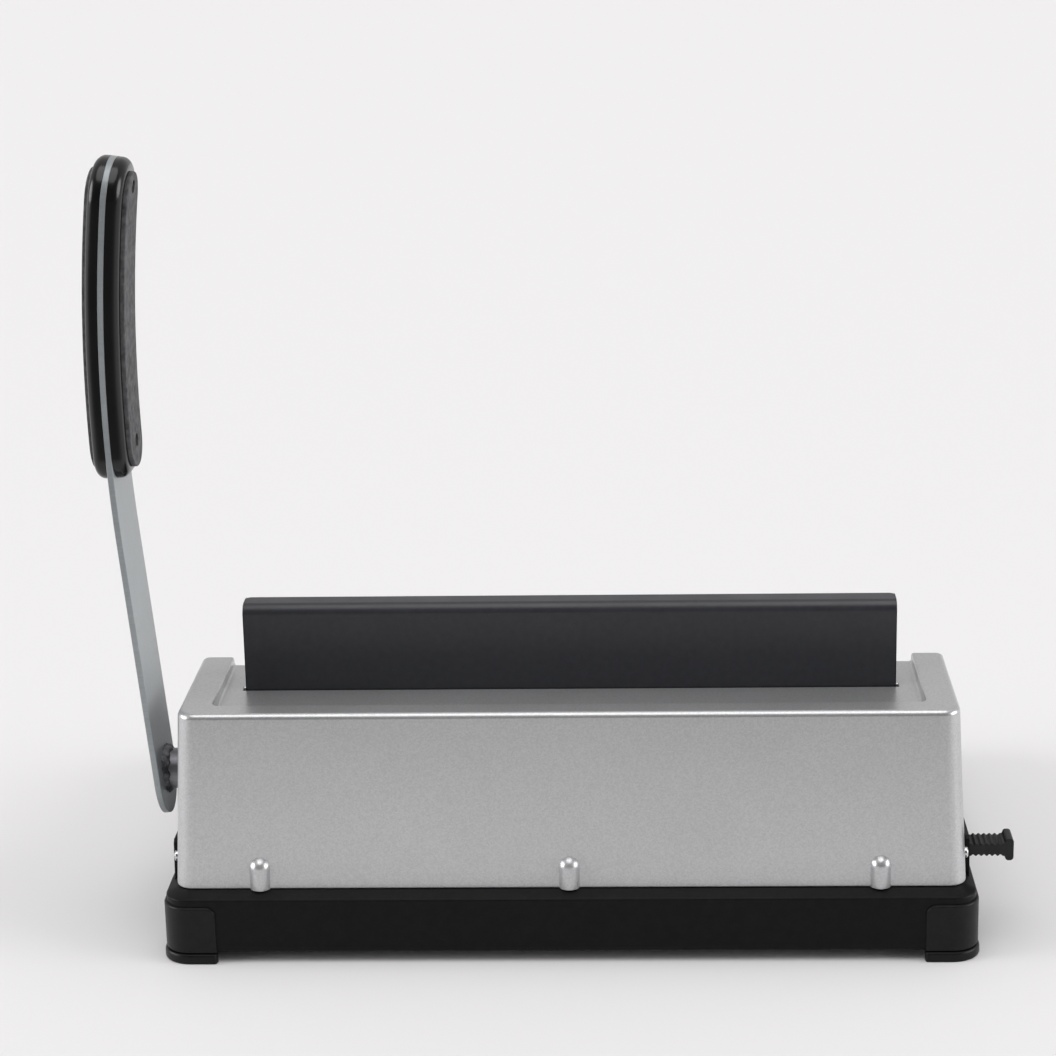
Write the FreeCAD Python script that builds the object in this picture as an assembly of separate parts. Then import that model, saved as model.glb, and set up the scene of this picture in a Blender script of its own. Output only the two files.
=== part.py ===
import FreeCAD, Part
import math
import os

from FreeCAD import Vector

# Comb binding machine worked by one side lever. Millimetres, +Z up.
# The model is laid out about the middle of the base: -Y is the front, where the paper goes in,
# and +X is the lever's side. On export everything moves along X by ORIGIN_SHIFT, so that the
# frame's origin lies on the floor under the middle of the overall box.

# ---- driving dimensions --------------------------------------------------------------------
BASE_HALF_X, BASE_HALF_Y = 193.0, 130.0    # base shell outline
BASE_LOW, BASE_SIDE_TOP, DECK_TOP = 5.5, 32.3, 34.4
BASE_CORNER = 12.0
BASE_WALL, DECK_THICK = 4.0, 3.0
SHOULDER = 7.5                             # inward run of the sloped shoulder round the deck

CHEEK_IN, CHEEK_OUT, CHEEK_TOP = 188.7, 191.0, 52.5
CHEEK_REAR = 106.5

FOOT_LONG, FOOT_PROUD, FOOT_THICK = 27.0, 1.2, 2.6
FOOT_PAD, FOOT_FLARE, FOOT_WRAP_TOP = 5.5, 2.0, 28.6

COVER_BOTTOM_X, COVER_TOP_X = 188.4, 184.5
COVER_FRONT_LOW, COVER_FRONT_HIGH = 8.0, 33.6
COVER_REAR_LOW, COVER_REAR_HIGH = 122.0, 117.0
COVER_TOP, COVER_WALL, COVER_CORNER, COVER_EDGE = 120.7, 2.5, 9.0, 2.6
RECESS_FLOOR, RECESS_HALF_X, RECESS_REAR = 115.2, 169.0, 103.6
BOSS_R, BOSS_PITCH, BOSS_Y, BOSS_TOP = 5.1, 147.3, 120.2, 50.0

PLATE_REAR, PLATE_THICK, PLATE_HALF_X, PLATE_TOP = 67.0, 2.0, 158.5, 158.0
PLATE_FLANGE, PLATE_LOW, PLATE_BEND = 14.0, 92.0, 5.0

SHAFT_Y, SHAFT_Z, SHAFT_R, SHAFT_END = 78.0, 78.7, 9.8, -182.4
LEVER_SWING = 85.0                         # degrees from upright to the front
LEVER_X = 198.7                            # bar's middle plane at the height of the shaft
BAR_THICK, BAR_WIDE, BAR_LEAN = 3.0, 40.0, 5.21
BAR_LOW, BAR_TOP, BEND_START, BEND_R = 57.0, 379.6, 198.5, 792.0
SCALE_THICK, SCALE_LOW, SCALE_TOP, SCALE_CORNER = 6.5, 228.7, 379.6, 12.0
LEVER_END_R = 19.0                         # round of the lever's head, bar and scales alike
PAD_THICK, PAD_WIDE, PAD_LOW, PAD_TOP = 2.0, 27.0, 231.8, 373.6
GRIP_HOLE_R, GRIP_HOLE_Z = 3.2, (244.4, 366.8)

PITCH, RINGS = 14.2875, 21                 # comb pitch (9/16 inch) and number of rings
PUNCH_Y, PUNCH_WIDE, PUNCH_DEEP = 60.0, 8.0, 3.0
TABLE_TOP, THROAT_TOP, GUIDE_TOP = 39.0, 43.6, 48.6
CAM_K, CAM_START, CAM_GAP = 6.0, 10.6, 0.3  # lift per radian, lift radius at rest, clearance
BEAM_THICK, BEAM_HALF_X = 7.8, 160.0
POST_X, POST_Y, POST_R = 153.5, 62.0, 3.5

MODULE, PINION_TEETH, PRESSURE = 1.0, 26, 20.0
GEAR_X = (161.0, 168.5)
FRAME_X = (172.0, 175.0)
CARRIAGE_Y, CARRIAGE_Z = (50.0, 56.6), (90.0, 98.0)
FINGER_Y, HOOK_Y = (60.6, 62.1), (56.6, 58.1)

STOP_Y = 66.5
SLIDE_Y, SLIDE_Z = (91.3, 104.0), (43.9, 48.2)
SLIDE_TRAVEL, STOP_RATIO = 12.0, 0.25
STOP_X = 110.0
TAB_X = (-190.8, -212.2)

RUN = 0.06                                 # radial clearance of a running fit
LEVER_BULGE = LEVER_X + (BEND_START - SHAFT_Z) * math.tan(math.radians(BAR_LEAN))
BEND_CENTRE_X = LEVER_BULGE - BEND_R * math.cos(math.radians(BAR_LEAN))
BEND_CENTRE_Z = BEND_START + BEND_R * math.sin(math.radians(BAR_LEAN))
GRIP_HALF = BAR_THICK / 2 + SCALE_THICK + PAD_THICK
ORIGIN_SHIFT = -(BEND_CENTRE_X + BEND_R + GRIP_HALF + TAB_X[1]) / 2

X, Y, Z = Vector(1, 0, 0), Vector(0, 1, 0), Vector(0, 0, 1)
nodes = {}


# ---- shape helpers -------------------------------------------------------------------------
def box(x, y, z):
    """Block from three (low, high) pairs."""
    return Part.makeBox(x[1] - x[0], y[1] - y[0], z[1] - z[0], Vector(x[0], y[0], z[0]))


def rod(radius, start, axis, length):
    """Round bar from a start point along an axis."""
    return Part.makeCylinder(radius, length, Vector(*start), axis)


def outline(x, y, radius, place=lambda a, b: Vector(a, b, 0)):
    """Closed wire of a rectangle with round corners; place turns its two coordinates into a point."""
    (x0, x1), (y0, y1) = x, y
    centres = [(x1 - radius, y0 + radius, -90), (x1 - radius, y1 - radius, 0),
               (x0 + radius, y1 - radius, 90), (x0 + radius, y0 + radius, 180)]
    edges, last = [], None
    for cx, cy, start in centres:
        arc = [place(cx + radius * math.cos(math.radians(start + turn)),
                     cy + radius * math.sin(math.radians(start + turn))) for turn in (0, 45, 90)]
        if last is not None:
            edges.append(Part.makeLine(last, arc[0]))
        edges.append(Part.Arc(*arc).toShape())
        last = arc[2]
    first = edges[0].valueAt(edges[0].FirstParameter)
    if last.distanceToPoint(first) > 1e-6:
        edges.append(Part.makeLine(last, first))
    return Part.Wire(edges)


def slab(x, y, z, radius):
    """Upright prism with round vertical corners."""
    wire = outline(x, y, radius, lambda a, b: Vector(a, b, z[0]))
    return Part.Face(wire).extrude(Vector(0, 0, z[1] - z[0]))


def sheet_x(y, z, x, radius):
    """Prism with a rounded outline in Y and Z, from x low to x high."""
    wire = outline(y, z, radius, lambda a, b: Vector(x[0], a, b))
    return Part.Face(wire).extrude(Vector(x[1] - x[0], 0, 0))


def polygon_x(points, x):
    """Prism with a straight-sided outline of (y, z) points, from x low to x high."""
    ring = [Vector(x[0], a, b) for a, b in points]
    return Part.Face(Part.makePolygon(ring + ring[:1])).extrude(Vector(x[1] - x[0], 0, 0))


def polygon_y(points, y):
    """Prism with a straight-sided outline of (x, z) points, from y low to y high."""
    ring = [Vector(a, y[0], b) for a, b in points]
    return Part.Face(Part.makePolygon(ring + ring[:1])).extrude(Vector(0, y[1] - y[0], 0))


def drafted(low, high):
    """Solid between two rounded outlines, each given as (x, y, z, corner radius)."""
    wires = [outline(x, y, r, lambda a, b, h=h: Vector(a, b, h)) for x, y, h, r in (low, high)]
    return Part.makeLoft(wires, True, True)


def mirrored(shape):
    """The same shape on the other side of the middle plane X = 0."""
    return shape.mirror(Vector(0, 0, 0), X)


def both_sides(x):
    """A (low, high) pair on +X and its mirror image on -X."""
    return [x, (-x[1], -x[0])]


def rounded(shape, radius, chosen):
    """Fillet the edges for which chosen(edge) is true."""
    return shape.makeFillet(radius, [edge for edge in shape.Edges if chosen(edge)])


def screw(point, axis, head_r, head_high, shank_r, length):
    """Pan-head screw: head stands out along axis from point, shank goes the other way, cross recess."""
    at = Vector(*point)
    head = Part.makeCylinder(head_r, head_high, at, axis)
    top = [edge for edge in head.Edges if abs((edge.CenterOfMass - at).dot(axis) - head_high) < 1e-6]
    head = head.makeFillet(head_high * 0.45, top)
    shank = Part.makeCylinder(shank_r, length, at, axis * -1)
    side = Z if abs(axis.z) < 0.5 else Y
    other = axis.cross(side)
    arm, half = head_r * 0.62, head_r * 0.11
    body = head.fuse(shank).removeSplitter()
    for along, across in ((side, other), (other, side)):
        corner = at + axis * (head_high * 0.4) - along * arm - across * half
        wire = [corner, corner + along * (2 * arm), corner + along * (2 * arm) + across * (2 * half),
                corner + across * (2 * half)]
        body = body.cut(Part.Face(Part.makePolygon(wire + wire[:1])).extrude(axis * head_high))
    return body


def ring_positions():
    """X of each comb ring, finger, hook and punch."""
    return [(i - (RINGS - 1) / 2) * PITCH for i in range(RINGS)]


def group(shapes):
    """One shape holding separate solids."""
    return Part.makeCompound(list(shapes))


def cut_all(shape, tools):
    """Take every tool away from the shape."""
    return shape.cut(group(tools))


# ---- base ----------------------------------------------------------------------------------
def base_box(grow, z, radius):
    """Rounded block of the base's plan, larger by grow all round."""
    return slab((-BASE_HALF_X - grow, BASE_HALF_X + grow), (-BASE_HALF_Y - grow, BASE_HALF_Y + grow),
                z, radius)


def corner_zone(side_x, side_y, z):
    """Square block that holds one corner of the base."""
    x = sorted((side_x * (BASE_HALF_X + 6), side_x * (BASE_HALF_X + 2 - FOOT_LONG)))
    y = sorted((side_y * (BASE_HALF_Y + 6), side_y * (BASE_HALF_Y + 2 - FOOT_LONG)))
    return box(x, y, z)


def cheek_outline():
    """Side cheek in (y, z): upright at the rear, sloping down to the deck at the front."""
    return [(CHEEK_REAR, BASE_SIDE_TOP - 1), (CHEEK_REAR, DECK_TOP + 2), (CHEEK_REAR - 1.4, CHEEK_TOP - 1.5),
            (CHEEK_REAR - 3.0, CHEEK_TOP), (-30.0, CHEEK_TOP), (-104.0, DECK_TOP + 8), (-116.0, DECK_TOP + 3),
            (-119.0, BASE_SIDE_TOP - 1)]


def make_base():
    body = base_box(0, (BASE_LOW, BASE_SIDE_TOP), BASE_CORNER)
    shoulder = drafted(
        ((-BASE_HALF_X, BASE_HALF_X), (-BASE_HALF_Y, BASE_HALF_Y), BASE_SIDE_TOP, BASE_CORNER),
        ((-BASE_HALF_X + SHOULDER, BASE_HALF_X - SHOULDER),
         (-BASE_HALF_Y + SHOULDER, BASE_HALF_Y - SHOULDER), DECK_TOP, BASE_CORNER - 3))
    cheeks = [polygon_x(cheek_outline(), x) for x in both_sides((CHEEK_IN, CHEEK_OUT))]
    body = body.fuse([shoulder] + cheeks)
    inside = base_box(-BASE_WALL, (BASE_LOW - 1, DECK_TOP - DECK_THICK), BASE_CORNER - BASE_WALL)
    well = box((-177, 177), (18, 114), (DECK_TOP - DECK_THICK - 1, DECK_TOP + 1))
    drawer_mouth = slab((-142, 142), (-BASE_HALF_Y - 5, -BASE_HALF_Y + 8), (7.5, 29.8), 1.0)
    tab_window = box((-CHEEK_OUT - 1, -CHEEK_IN + 1), (SLIDE_Y[0] - 0.5, SLIDE_Y[1] + 0.5), (41.5, 48.7))
    wraps = base_box(1, (0, FOOT_WRAP_TOP + 0.2), BASE_CORNER).cut(
        base_box(-FOOT_THICK + FOOT_PROUD, (0, FOOT_WRAP_TOP + 0.2), BASE_CORNER - 1))
    pockets = [wraps.common(corner_zone(sx, sy, (0, FOOT_WRAP_TOP + 0.2)))
               for sx in (-1, 1) for sy in (-1, 1)]
    body = cut_all(body, [inside, well, drawer_mouth, tab_window] + pockets)
    nodes["base_shell"] = body

    plate = slab((-187, 187), (-124, 124), (BASE_LOW, 7.5), 6)
    spots = [(sx * 150, y) for sx in (-1, 1) for y in (-100, 0, 116)]
    screws = [screw((x, y, BASE_LOW), Z * -1, 3.6, 1.6, 1.6, 1.9) for x, y in spots]
    nodes["base_screws"] = group(screws)
    nodes["bottom_plate"] = plate.cut(nodes["base_screws"])
    rails = [box(x, (-120, 86), (7.5, 20)) for x in both_sides((142.5, 145.5))]
    nodes["drawer_rails"] = group(rails)


def make_feet():
    """Rubber corner bumper: flared pad under the base and an upper band that wraps the corner."""
    pad = drafted(
        ((-BASE_HALF_X - FOOT_FLARE, BASE_HALF_X + FOOT_FLARE),
         (-BASE_HALF_Y - FOOT_FLARE, BASE_HALF_Y + FOOT_FLARE), 0, BASE_CORNER + FOOT_FLARE),
        ((-BASE_HALF_X - FOOT_PROUD, BASE_HALF_X + FOOT_PROUD),
         (-BASE_HALF_Y - FOOT_PROUD, BASE_HALF_Y + FOOT_PROUD), FOOT_PAD - 0.6, BASE_CORNER + FOOT_PROUD))
    groove = base_box(-0.4, (FOOT_PAD - 0.6, FOOT_PAD), BASE_CORNER - 0.4)
    band = base_box(FOOT_PROUD, (FOOT_PAD, FOOT_WRAP_TOP), BASE_CORNER + FOOT_PROUD).cut(
        base_box(-FOOT_THICK + FOOT_PROUD, (FOOT_PAD, FOOT_WRAP_TOP), BASE_CORNER - 1))
    whole = pad.fuse([groove, band])
    for side_y, end in ((1, "rear"), (-1, "front")):
        for side_x, hand in ((1, "right"), (-1, "left")):
            foot = whole.common(corner_zone(side_x, side_y, (0, FOOT_WRAP_TOP)))
            nodes["foot_%s_%s" % (end, hand)] = foot


# ---- cover, backrest and comb opener -------------------------------------------------------
def cover_block(inset, low, high):
    """Drafted block that the cover's skin follows, moved inwards by inset."""
    def at(z):
        share = (z - DECK_TOP) / (COVER_TOP - DECK_TOP)
        half = COVER_BOTTOM_X + (COVER_TOP_X - COVER_BOTTOM_X) * share - inset
        front = COVER_FRONT_LOW + (COVER_FRONT_HIGH - COVER_FRONT_LOW) * share + inset
        rear = COVER_REAR_LOW + (COVER_REAR_HIGH - COVER_REAR_LOW) * share - inset
        return ((-half, half), (front, rear), z, COVER_CORNER - inset)
    return drafted(at(low), at(high))


def make_cover(side_screws):
    outer = cover_block(0, DECK_TOP, COVER_TOP)
    outer = rounded(outer, COVER_EDGE, lambda e: e.BoundBox.ZMin > COVER_TOP - 1e-3)
    bosses = []
    for x in (-BOSS_PITCH, 0, BOSS_PITCH):
        stem = rod(BOSS_R, (x, BOSS_Y, DECK_TOP), Z, BOSS_TOP - BOSS_R - DECK_TOP)
        dome = Part.makeSphere(BOSS_R, Vector(x, BOSS_Y, BOSS_TOP - BOSS_R))
        bosses += [stem, dome]
    outer = outer.fuse(bosses)
    cavity = cover_block(COVER_WALL, DECK_TOP, RECESS_FLOOR - COVER_WALL)
    recess = slab((-RECESS_HALF_X, RECESS_HALF_X), (0, RECESS_REAR), (RECESS_FLOOR, COVER_TOP + 1), 3)
    bed_hole = box((-156, 156), (36.4, 64.4), (RECESS_FLOOR - 4, RECESS_FLOOR + 1))
    plate_slot = box((-PLATE_HALF_X - 1.2, PLATE_HALF_X + 1.2), (64, PLATE_REAR + 1.2),
                     (RECESS_FLOOR - 4, RECESS_FLOOR + 1))
    mouth = box((-176, 176), (0, 24), (DECK_TOP - 1, THROAT_TOP + 1.9))
    shaft_hole = rod(SHAFT_R + 1.0, (170, SHAFT_Y, SHAFT_Z), X, 40)
    tab_notch = box((-200, -180), (SLIDE_Y[0] - 0.5, SLIDE_Y[1] + 0.5), (DECK_TOP - 1, 48.7))
    nodes["rear_cover"] = cut_all(outer, [cavity, recess, bed_hole, plate_slot, mouth, shaft_hole,
                                          tab_notch, side_screws])


def make_backrest():
    """Folded sheet: upright plate with a short flange forward at the top, and rivets through the stack."""
    front = PLATE_REAR - PLATE_THICK
    upright = box((-PLATE_HALF_X, PLATE_HALF_X), (front, PLATE_REAR), (PLATE_LOW, PLATE_TOP))
    flange = box((-PLATE_HALF_X, PLATE_HALF_X), (PLATE_REAR - PLATE_FLANGE, PLATE_REAR),
                 (PLATE_TOP - PLATE_THICK, PLATE_TOP))
    plate = upright.fuse(flange).removeSplitter()
    plate = rounded(plate, PLATE_BEND, lambda e: e.BoundBox.XLength > 300
                    and e.BoundBox.ZMin > PLATE_TOP - 0.01 and e.BoundBox.YMin > PLATE_REAR - 0.01)
    plate = rounded(plate, PLATE_BEND - PLATE_THICK, lambda e: e.BoundBox.XLength > 300
                    and abs(e.BoundBox.ZMin - PLATE_TOP + PLATE_THICK) < 0.01
                    and abs(e.BoundBox.YMin - front) < 0.01)
    plate = rounded(plate, 3.0, lambda e: abs(e.BoundBox.ZLength - PLATE_THICK) < 0.01
                    and e.BoundBox.YMax < PLATE_REAR - PLATE_FLANGE + 0.01)
    spacer = box((-150, 150), (FINGER_Y[1], front), (PLATE_LOW, 102))
    spots = [(x, 97.0) for x in (-120, -40, 40, 120)]
    rivets = []
    for x, z in spots:
        shank = rod(2.0, (x, FINGER_Y[0] - 1.2, z), Y, PLATE_REAR + 3 - FINGER_Y[0] + 1.2)
        rivets.append(shank.fuse(rod(3.4, (x, FINGER_Y[0] - 1.2, z), Y, 1.2)).removeSplitter())
    nodes["backrest_rivets"] = group(rivets)
    nodes["comb_backrest"] = plate.cut(nodes["backrest_rivets"])
    nodes["backrest_spacer"] = spacer.cut(nodes["backrest_rivets"])


def make_fingers():
    """Fixed fingers that the comb's rings hang on: one sheet with a strip below and fingers above."""
    strip = box((-152, 152), FINGER_Y, (PLATE_LOW, 110))
    fingers = []
    for x in ring_positions():
        finger = box((x - 4.4, x - 0.4), FINGER_Y, (109, 140))
        fingers.append(rounded(finger, 1.9, lambda e: e.BoundBox.YLength > 1 and e.BoundBox.ZMin > 139.9))
    sheet = strip.fuse(fingers).removeSplitter()
    nodes["comb_fingers"] = sheet.cut(nodes["backrest_rivets"])
    bed = box((-164, 164), (34.8, 64.2), (RECESS_FLOOR - COVER_WALL - 1.5, RECESS_FLOOR - COVER_WALL))
    slots = [sheet_slot(x) for x in ring_positions()]
    nodes["opener_bed_plate"] = cut_all(bed, slots)


def sheet_slot(x):
    """Slot in the bed plate that a finger stands in and a hook travels along."""
    return slab((x - 4.9, x + 4.9), (36.6, 62.6), (RECESS_FLOOR - 6, RECESS_FLOOR), 1.5)


def make_hooks():
    """Carriage bar, hook comb and racks: they slide forward together and pull the rings open."""
    bar = box((-170.8, 170.8), CARRIAGE_Y, CARRIAGE_Z)
    strip = box((-152, 152), HOOK_Y, (CARRIAGE_Z[0] + 1, 103))
    hooks = []
    for x in ring_positions():
        stem = box((x + 0.6, x + 3.8), HOOK_Y, (102, 127))
        tip = box((x - 3.6, x + 3.8), HOOK_Y, (124, 127))
        lip = box((x - 3.6, x - 2.2), HOOK_Y, (122.4, 125))
        hooks += [stem, tip, lip]
    sheet = strip.fuse(hooks).removeSplitter()
    spots = [(x, 95.5) for x in (-130, -50, 50, 130)]
    rivets = []
    for x, z in spots:
        shank = rod(1.8, (x, CARRIAGE_Y[0] - 1.0, z), Y, HOOK_Y[1] + 0.8 - CARRIAGE_Y[0] + 1.0)
        rivets.append(shank.fuse([rod(3.0, (x, CARRIAGE_Y[0] - 1.0, z), Y, 1.0),
                                  rod(3.0, (x, HOOK_Y[1], z), Y, 0.8)]).removeSplitter())
    nodes["hook_rivets"] = group(rivets)
    nodes["hook_carriage"] = bar.cut(nodes["hook_rivets"])
    nodes["hook_comb"] = sheet.cut(nodes["hook_rivets"])
    rack = make_rack()
    nodes["rack_right"] = rack
    nodes["rack_left"] = mirrored(rack)


def make_rack():
    """Toothed bar over the pinion, its teeth pointing down, in mesh at rest."""
    pitch_line = SHAFT_Z + MODULE * PINION_TEETH / 2
    step = math.pi * MODULE
    half = step / 4 - 0.03
    slope = math.tan(math.radians(PRESSURE))
    root, tip = pitch_line + 1.25 * MODULE, pitch_line - MODULE
    body = box(GEAR_X, (CARRIAGE_Y[1], 110.0), (root, CARRIAGE_Z[1] - 2))
    teeth = []
    for i in range(-3, 10):
        middle = SHAFT_Y + (i + 0.5) * step
        wide, narrow = half + slope * 1.25 * MODULE, half - slope * MODULE
        points = [(middle - wide, root + 0.2), (middle - wide, root), (middle - narrow, tip),
                  (middle + narrow, tip), (middle + wide, root), (middle + wide, root + 0.2)]
        teeth.append(polygon_x(points, GEAR_X))
    return body.fuse(teeth).removeSplitter()


def make_pinion():
    """Spur pinion on the lever shaft with involute flanks."""
    pitch_r = MODULE * PINION_TEETH / 2
    base_r = pitch_r * math.cos(math.radians(PRESSURE))
    root_r, tip_r = pitch_r - 1.25 * MODULE, pitch_r + MODULE
    involute = math.tan(math.radians(PRESSURE)) - math.radians(PRESSURE)
    half = (math.pi * MODULE / 2 - 0.16) / 2 / pitch_r + involute
    points = []
    for tooth in range(PINION_TEETH):
        middle = math.pi / 2 + 2 * math.pi * tooth / PINION_TEETH
        radii = [base_r + (tip_r - base_r) * i / 4 for i in range(5)]
        flank = []
        for r in radii:
            roll = math.sqrt(max((r / base_r) ** 2 - 1, 0))
            flank.append((r, half - (roll - math.atan(roll))))
        flank = [(root_r, half)] + flank
        points += [(r, middle - a) for r, a in flank]
        points += [(r, middle + a) for r, a in reversed(flank)]
    outline_yz = [(SHAFT_Y + r * math.cos(a), SHAFT_Z + r * math.sin(a)) for r, a in points]
    return polygon_x(outline_yz, GEAR_X)


# ---- lever ---------------------------------------------------------------------------------
def lever_point(z_mid, offset):
    """Point (x, z) beside the lever's middle line: offset is positive on the outer side.

    Below BEND_START the line is straight and leans out; above it follows a large arc back inwards.
    """
    if z_mid <= BEND_START:
        lean = math.radians(BAR_LEAN)
        x_mid = LEVER_X + (z_mid - SHAFT_Z) * math.tan(lean)
        return Vector(x_mid + offset * math.cos(lean), 0, z_mid - offset * math.sin(lean))
    angle = math.asin((z_mid - BEND_CENTRE_Z) / BEND_R)
    radius = BEND_R + offset
    return Vector(BEND_CENTRE_X + radius * math.cos(angle), 0, BEND_CENTRE_Z + radius * math.sin(angle))


def lever_band(inner, outer, low, high, y):
    """Layer of the lever between two offsets from its middle line, across the range y."""
    start = max(low, BEND_START)

    def arc(offset):
        return Part.Arc(lever_point(start + 1e-6, offset), lever_point((start + high) / 2, offset),
                        lever_point(high, offset)).toShape()

    edges = [arc(outer), arc(inner)]
    ends = [(lever_point(high, outer), lever_point(high, inner))]
    if low < BEND_START:
        a, b = lever_point(low, outer), lever_point(low, inner)
        ends += [(a, edges[0].Vertexes[0].Point), (b, edges[1].Vertexes[0].Point), (a, b)]
    else:
        ends.append((edges[0].Vertexes[0].Point, edges[1].Vertexes[0].Point))
    edges += [Part.makeLine(p, q) for p, q in ends]
    wire = Part.Wire(Part.__sortEdges__(edges))
    band = Part.Face(wire).extrude(Vector(0, y[1] - y[0], 0))
    band.translate(Vector(0, y[0], 0))
    return band


def grip_holes(radius):
    """Cross holes through the grip, square to the bar at each height."""
    holes = []
    for z in GRIP_HOLE_Z:
        a, b = lever_point(z, -30), lever_point(z, 30)
        holes.append(Part.makeCylinder(radius, 60, Vector(a.x, SHAFT_Y, a.z), b - a))
    return holes


def make_lever():
    y = (SHAFT_Y - BAR_WIDE / 2, SHAFT_Y + BAR_WIDE / 2)
    reach = (LEVER_X - 20, LEVER_X + 40)
    shaft = rod(SHAFT_R, (SHAFT_END, SHAFT_Y, SHAFT_Z), X, LEVER_X + 3.2 - SHAFT_END)
    shaft = shaft.makeChamfer(1.0, [e for e in shaft.Edges if e.BoundBox.XLength < 1e-6])
    bar = lever_band(-BAR_THICK / 2, BAR_THICK / 2, BAR_LOW - 2, BAR_TOP + 2, y)
    shape = Part.Face(bar_outline(y, reach[0])).extrude(Vector(reach[1] - reach[0], 0, 0))
    bar = bar.common(shape)
    half = BAR_THICK / 2
    pins = []
    for z in GRIP_HOLE_Z:
        for side, name in ((-1, "inner"), (1, "outer")):
            a, b = lever_point(z, side * (half + 0.1)), lever_point(z, side * (half + 3.2))
            pins.append(hex_nut(Vector(a.x, SHAFT_Y, a.z), b - a))
    nodes["grip_screws"] = group(pins)
    for side, name in ((-1, "inner"), (1, "outer")):
        edges = sorted((side * half, side * (half + SCALE_THICK)))
        scale = lever_band(edges[0], edges[1], SCALE_LOW - 4, SCALE_TOP + 4, y)
        scale = scale.common(sheet_x(y, (SCALE_LOW, SCALE_TOP + 30), reach, SCALE_CORNER))
        scale = scale.common(sheet_x(y, (SCALE_LOW - 30, SCALE_TOP), reach, LEVER_END_R))
        scale = soften(scale, side, SCALE_THICK, 4.5)
        edges = sorted((side * (half + SCALE_THICK), side * GRIP_HALF))
        pad_y = (SHAFT_Y - PAD_WIDE / 2, SHAFT_Y + PAD_WIDE / 2)
        pad = lever_band(edges[0], edges[1], PAD_LOW - 3, PAD_TOP + 3, pad_y)
        pad = pad.common(sheet_x(pad_y, (PAD_LOW, PAD_TOP), reach, PAD_WIDE / 2 - 0.1))
        nodes["grip_scale_" + name] = cut_all(scale, grip_holes(GRIP_HOLE_R))
        nodes["grip_pad_" + name] = cut_all(pad, grip_holes(GRIP_HOLE_R))
    nodes["lever_bar"] = bar.cut(shaft)
    nodes["lever_shaft"] = shaft
    bead = Part.makeCone(SHAFT_R, SHAFT_R + 3.4, 4.2, Vector(LEVER_X - 6.4, SHAFT_Y, SHAFT_Z), X)
    bead = bead.fuse(rod(SHAFT_R + 3.4, (LEVER_X - 2.2, SHAFT_Y, SHAFT_Z), X, 3.5))
    inside = lever_band(-20, -half, BAR_LOW - 20, BEND_START + 5, (y[0] - 5, y[1] + 5))
    nodes["weld_bead"] = bead.common(inside).cut(shaft)


def bar_outline(y, x):
    """Lever bar seen from the side: full round below, nearly so above."""
    middle, half, corner = SHAFT_Y, BAR_WIDE / 2, LEVER_END_R
    low_z = BAR_LOW + half
    top = BAR_TOP
    dip = corner * (1 - math.sqrt(0.5))
    points = [Vector(x, y[0], low_z), Vector(x, middle, BAR_LOW), Vector(x, y[1], low_z)]
    right = [Vector(x, y[1], top - corner), Vector(x, y[1] - dip, top - dip), Vector(x, y[1] - corner, top)]
    left = [Vector(x, y[0] + corner, top), Vector(x, y[0] + dip, top - dip), Vector(x, y[0], top - corner)]
    return Part.Wire([Part.Arc(*points).toShape(), Part.makeLine(points[2], right[0]),
                      Part.Arc(*right).toShape(), Part.makeLine(right[2], left[0]),
                      Part.Arc(*left).toShape(), Part.makeLine(left[2], points[0])])


def soften(scale, side, thick, radius):
    """Round the edges of a grip scale's outer face."""
    middle = lever_point((SCALE_LOW + SCALE_TOP) / 2, side * (BAR_THICK / 2 + thick))
    face = min(scale.Faces, key=lambda f: f.distToShape(Part.Vertex(middle.x, SHAFT_Y, middle.z))[0])
    return scale.makeFillet(radius, face.Edges)


def hex_nut(start, direction):
    """Low nut that sits at the bottom of a grip hole."""
    nut = Part.makeCylinder(GRIP_HOLE_R - 0.15, direction.Length, start, direction)
    hexagon = Part.makeCylinder(1.4, direction.Length / 2, start + direction * 0.5, direction)
    return nut.cut(hexagon)


def make_shaft_parts():
    bore = rod(SHAFT_R, (-260, SHAFT_Y, SHAFT_Z), X, 520)
    pinion = make_pinion().cut(bore)
    nodes["pinion_right"] = pinion
    nodes["pinion_left"] = mirrored(pinion)
    cam = make_cam((84, 94)).cut(bore)
    nodes["cam_right"] = cam
    nodes["cam_left"] = mirrored(cam)
    rings = []
    for x in (179.6, -180.8):
        ring = rod(SHAFT_R + 2.6, (x, SHAFT_Y, SHAFT_Z), X, 1.2)
        gap = box((x - 2, x + 3), (SHAFT_Y - 1.6, SHAFT_Y + 1.6), (SHAFT_Z, SHAFT_Z + 20))
        rings.append(ring.cut(bore).cut(gap))
    nodes["retaining_rings"] = group(rings)


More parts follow.
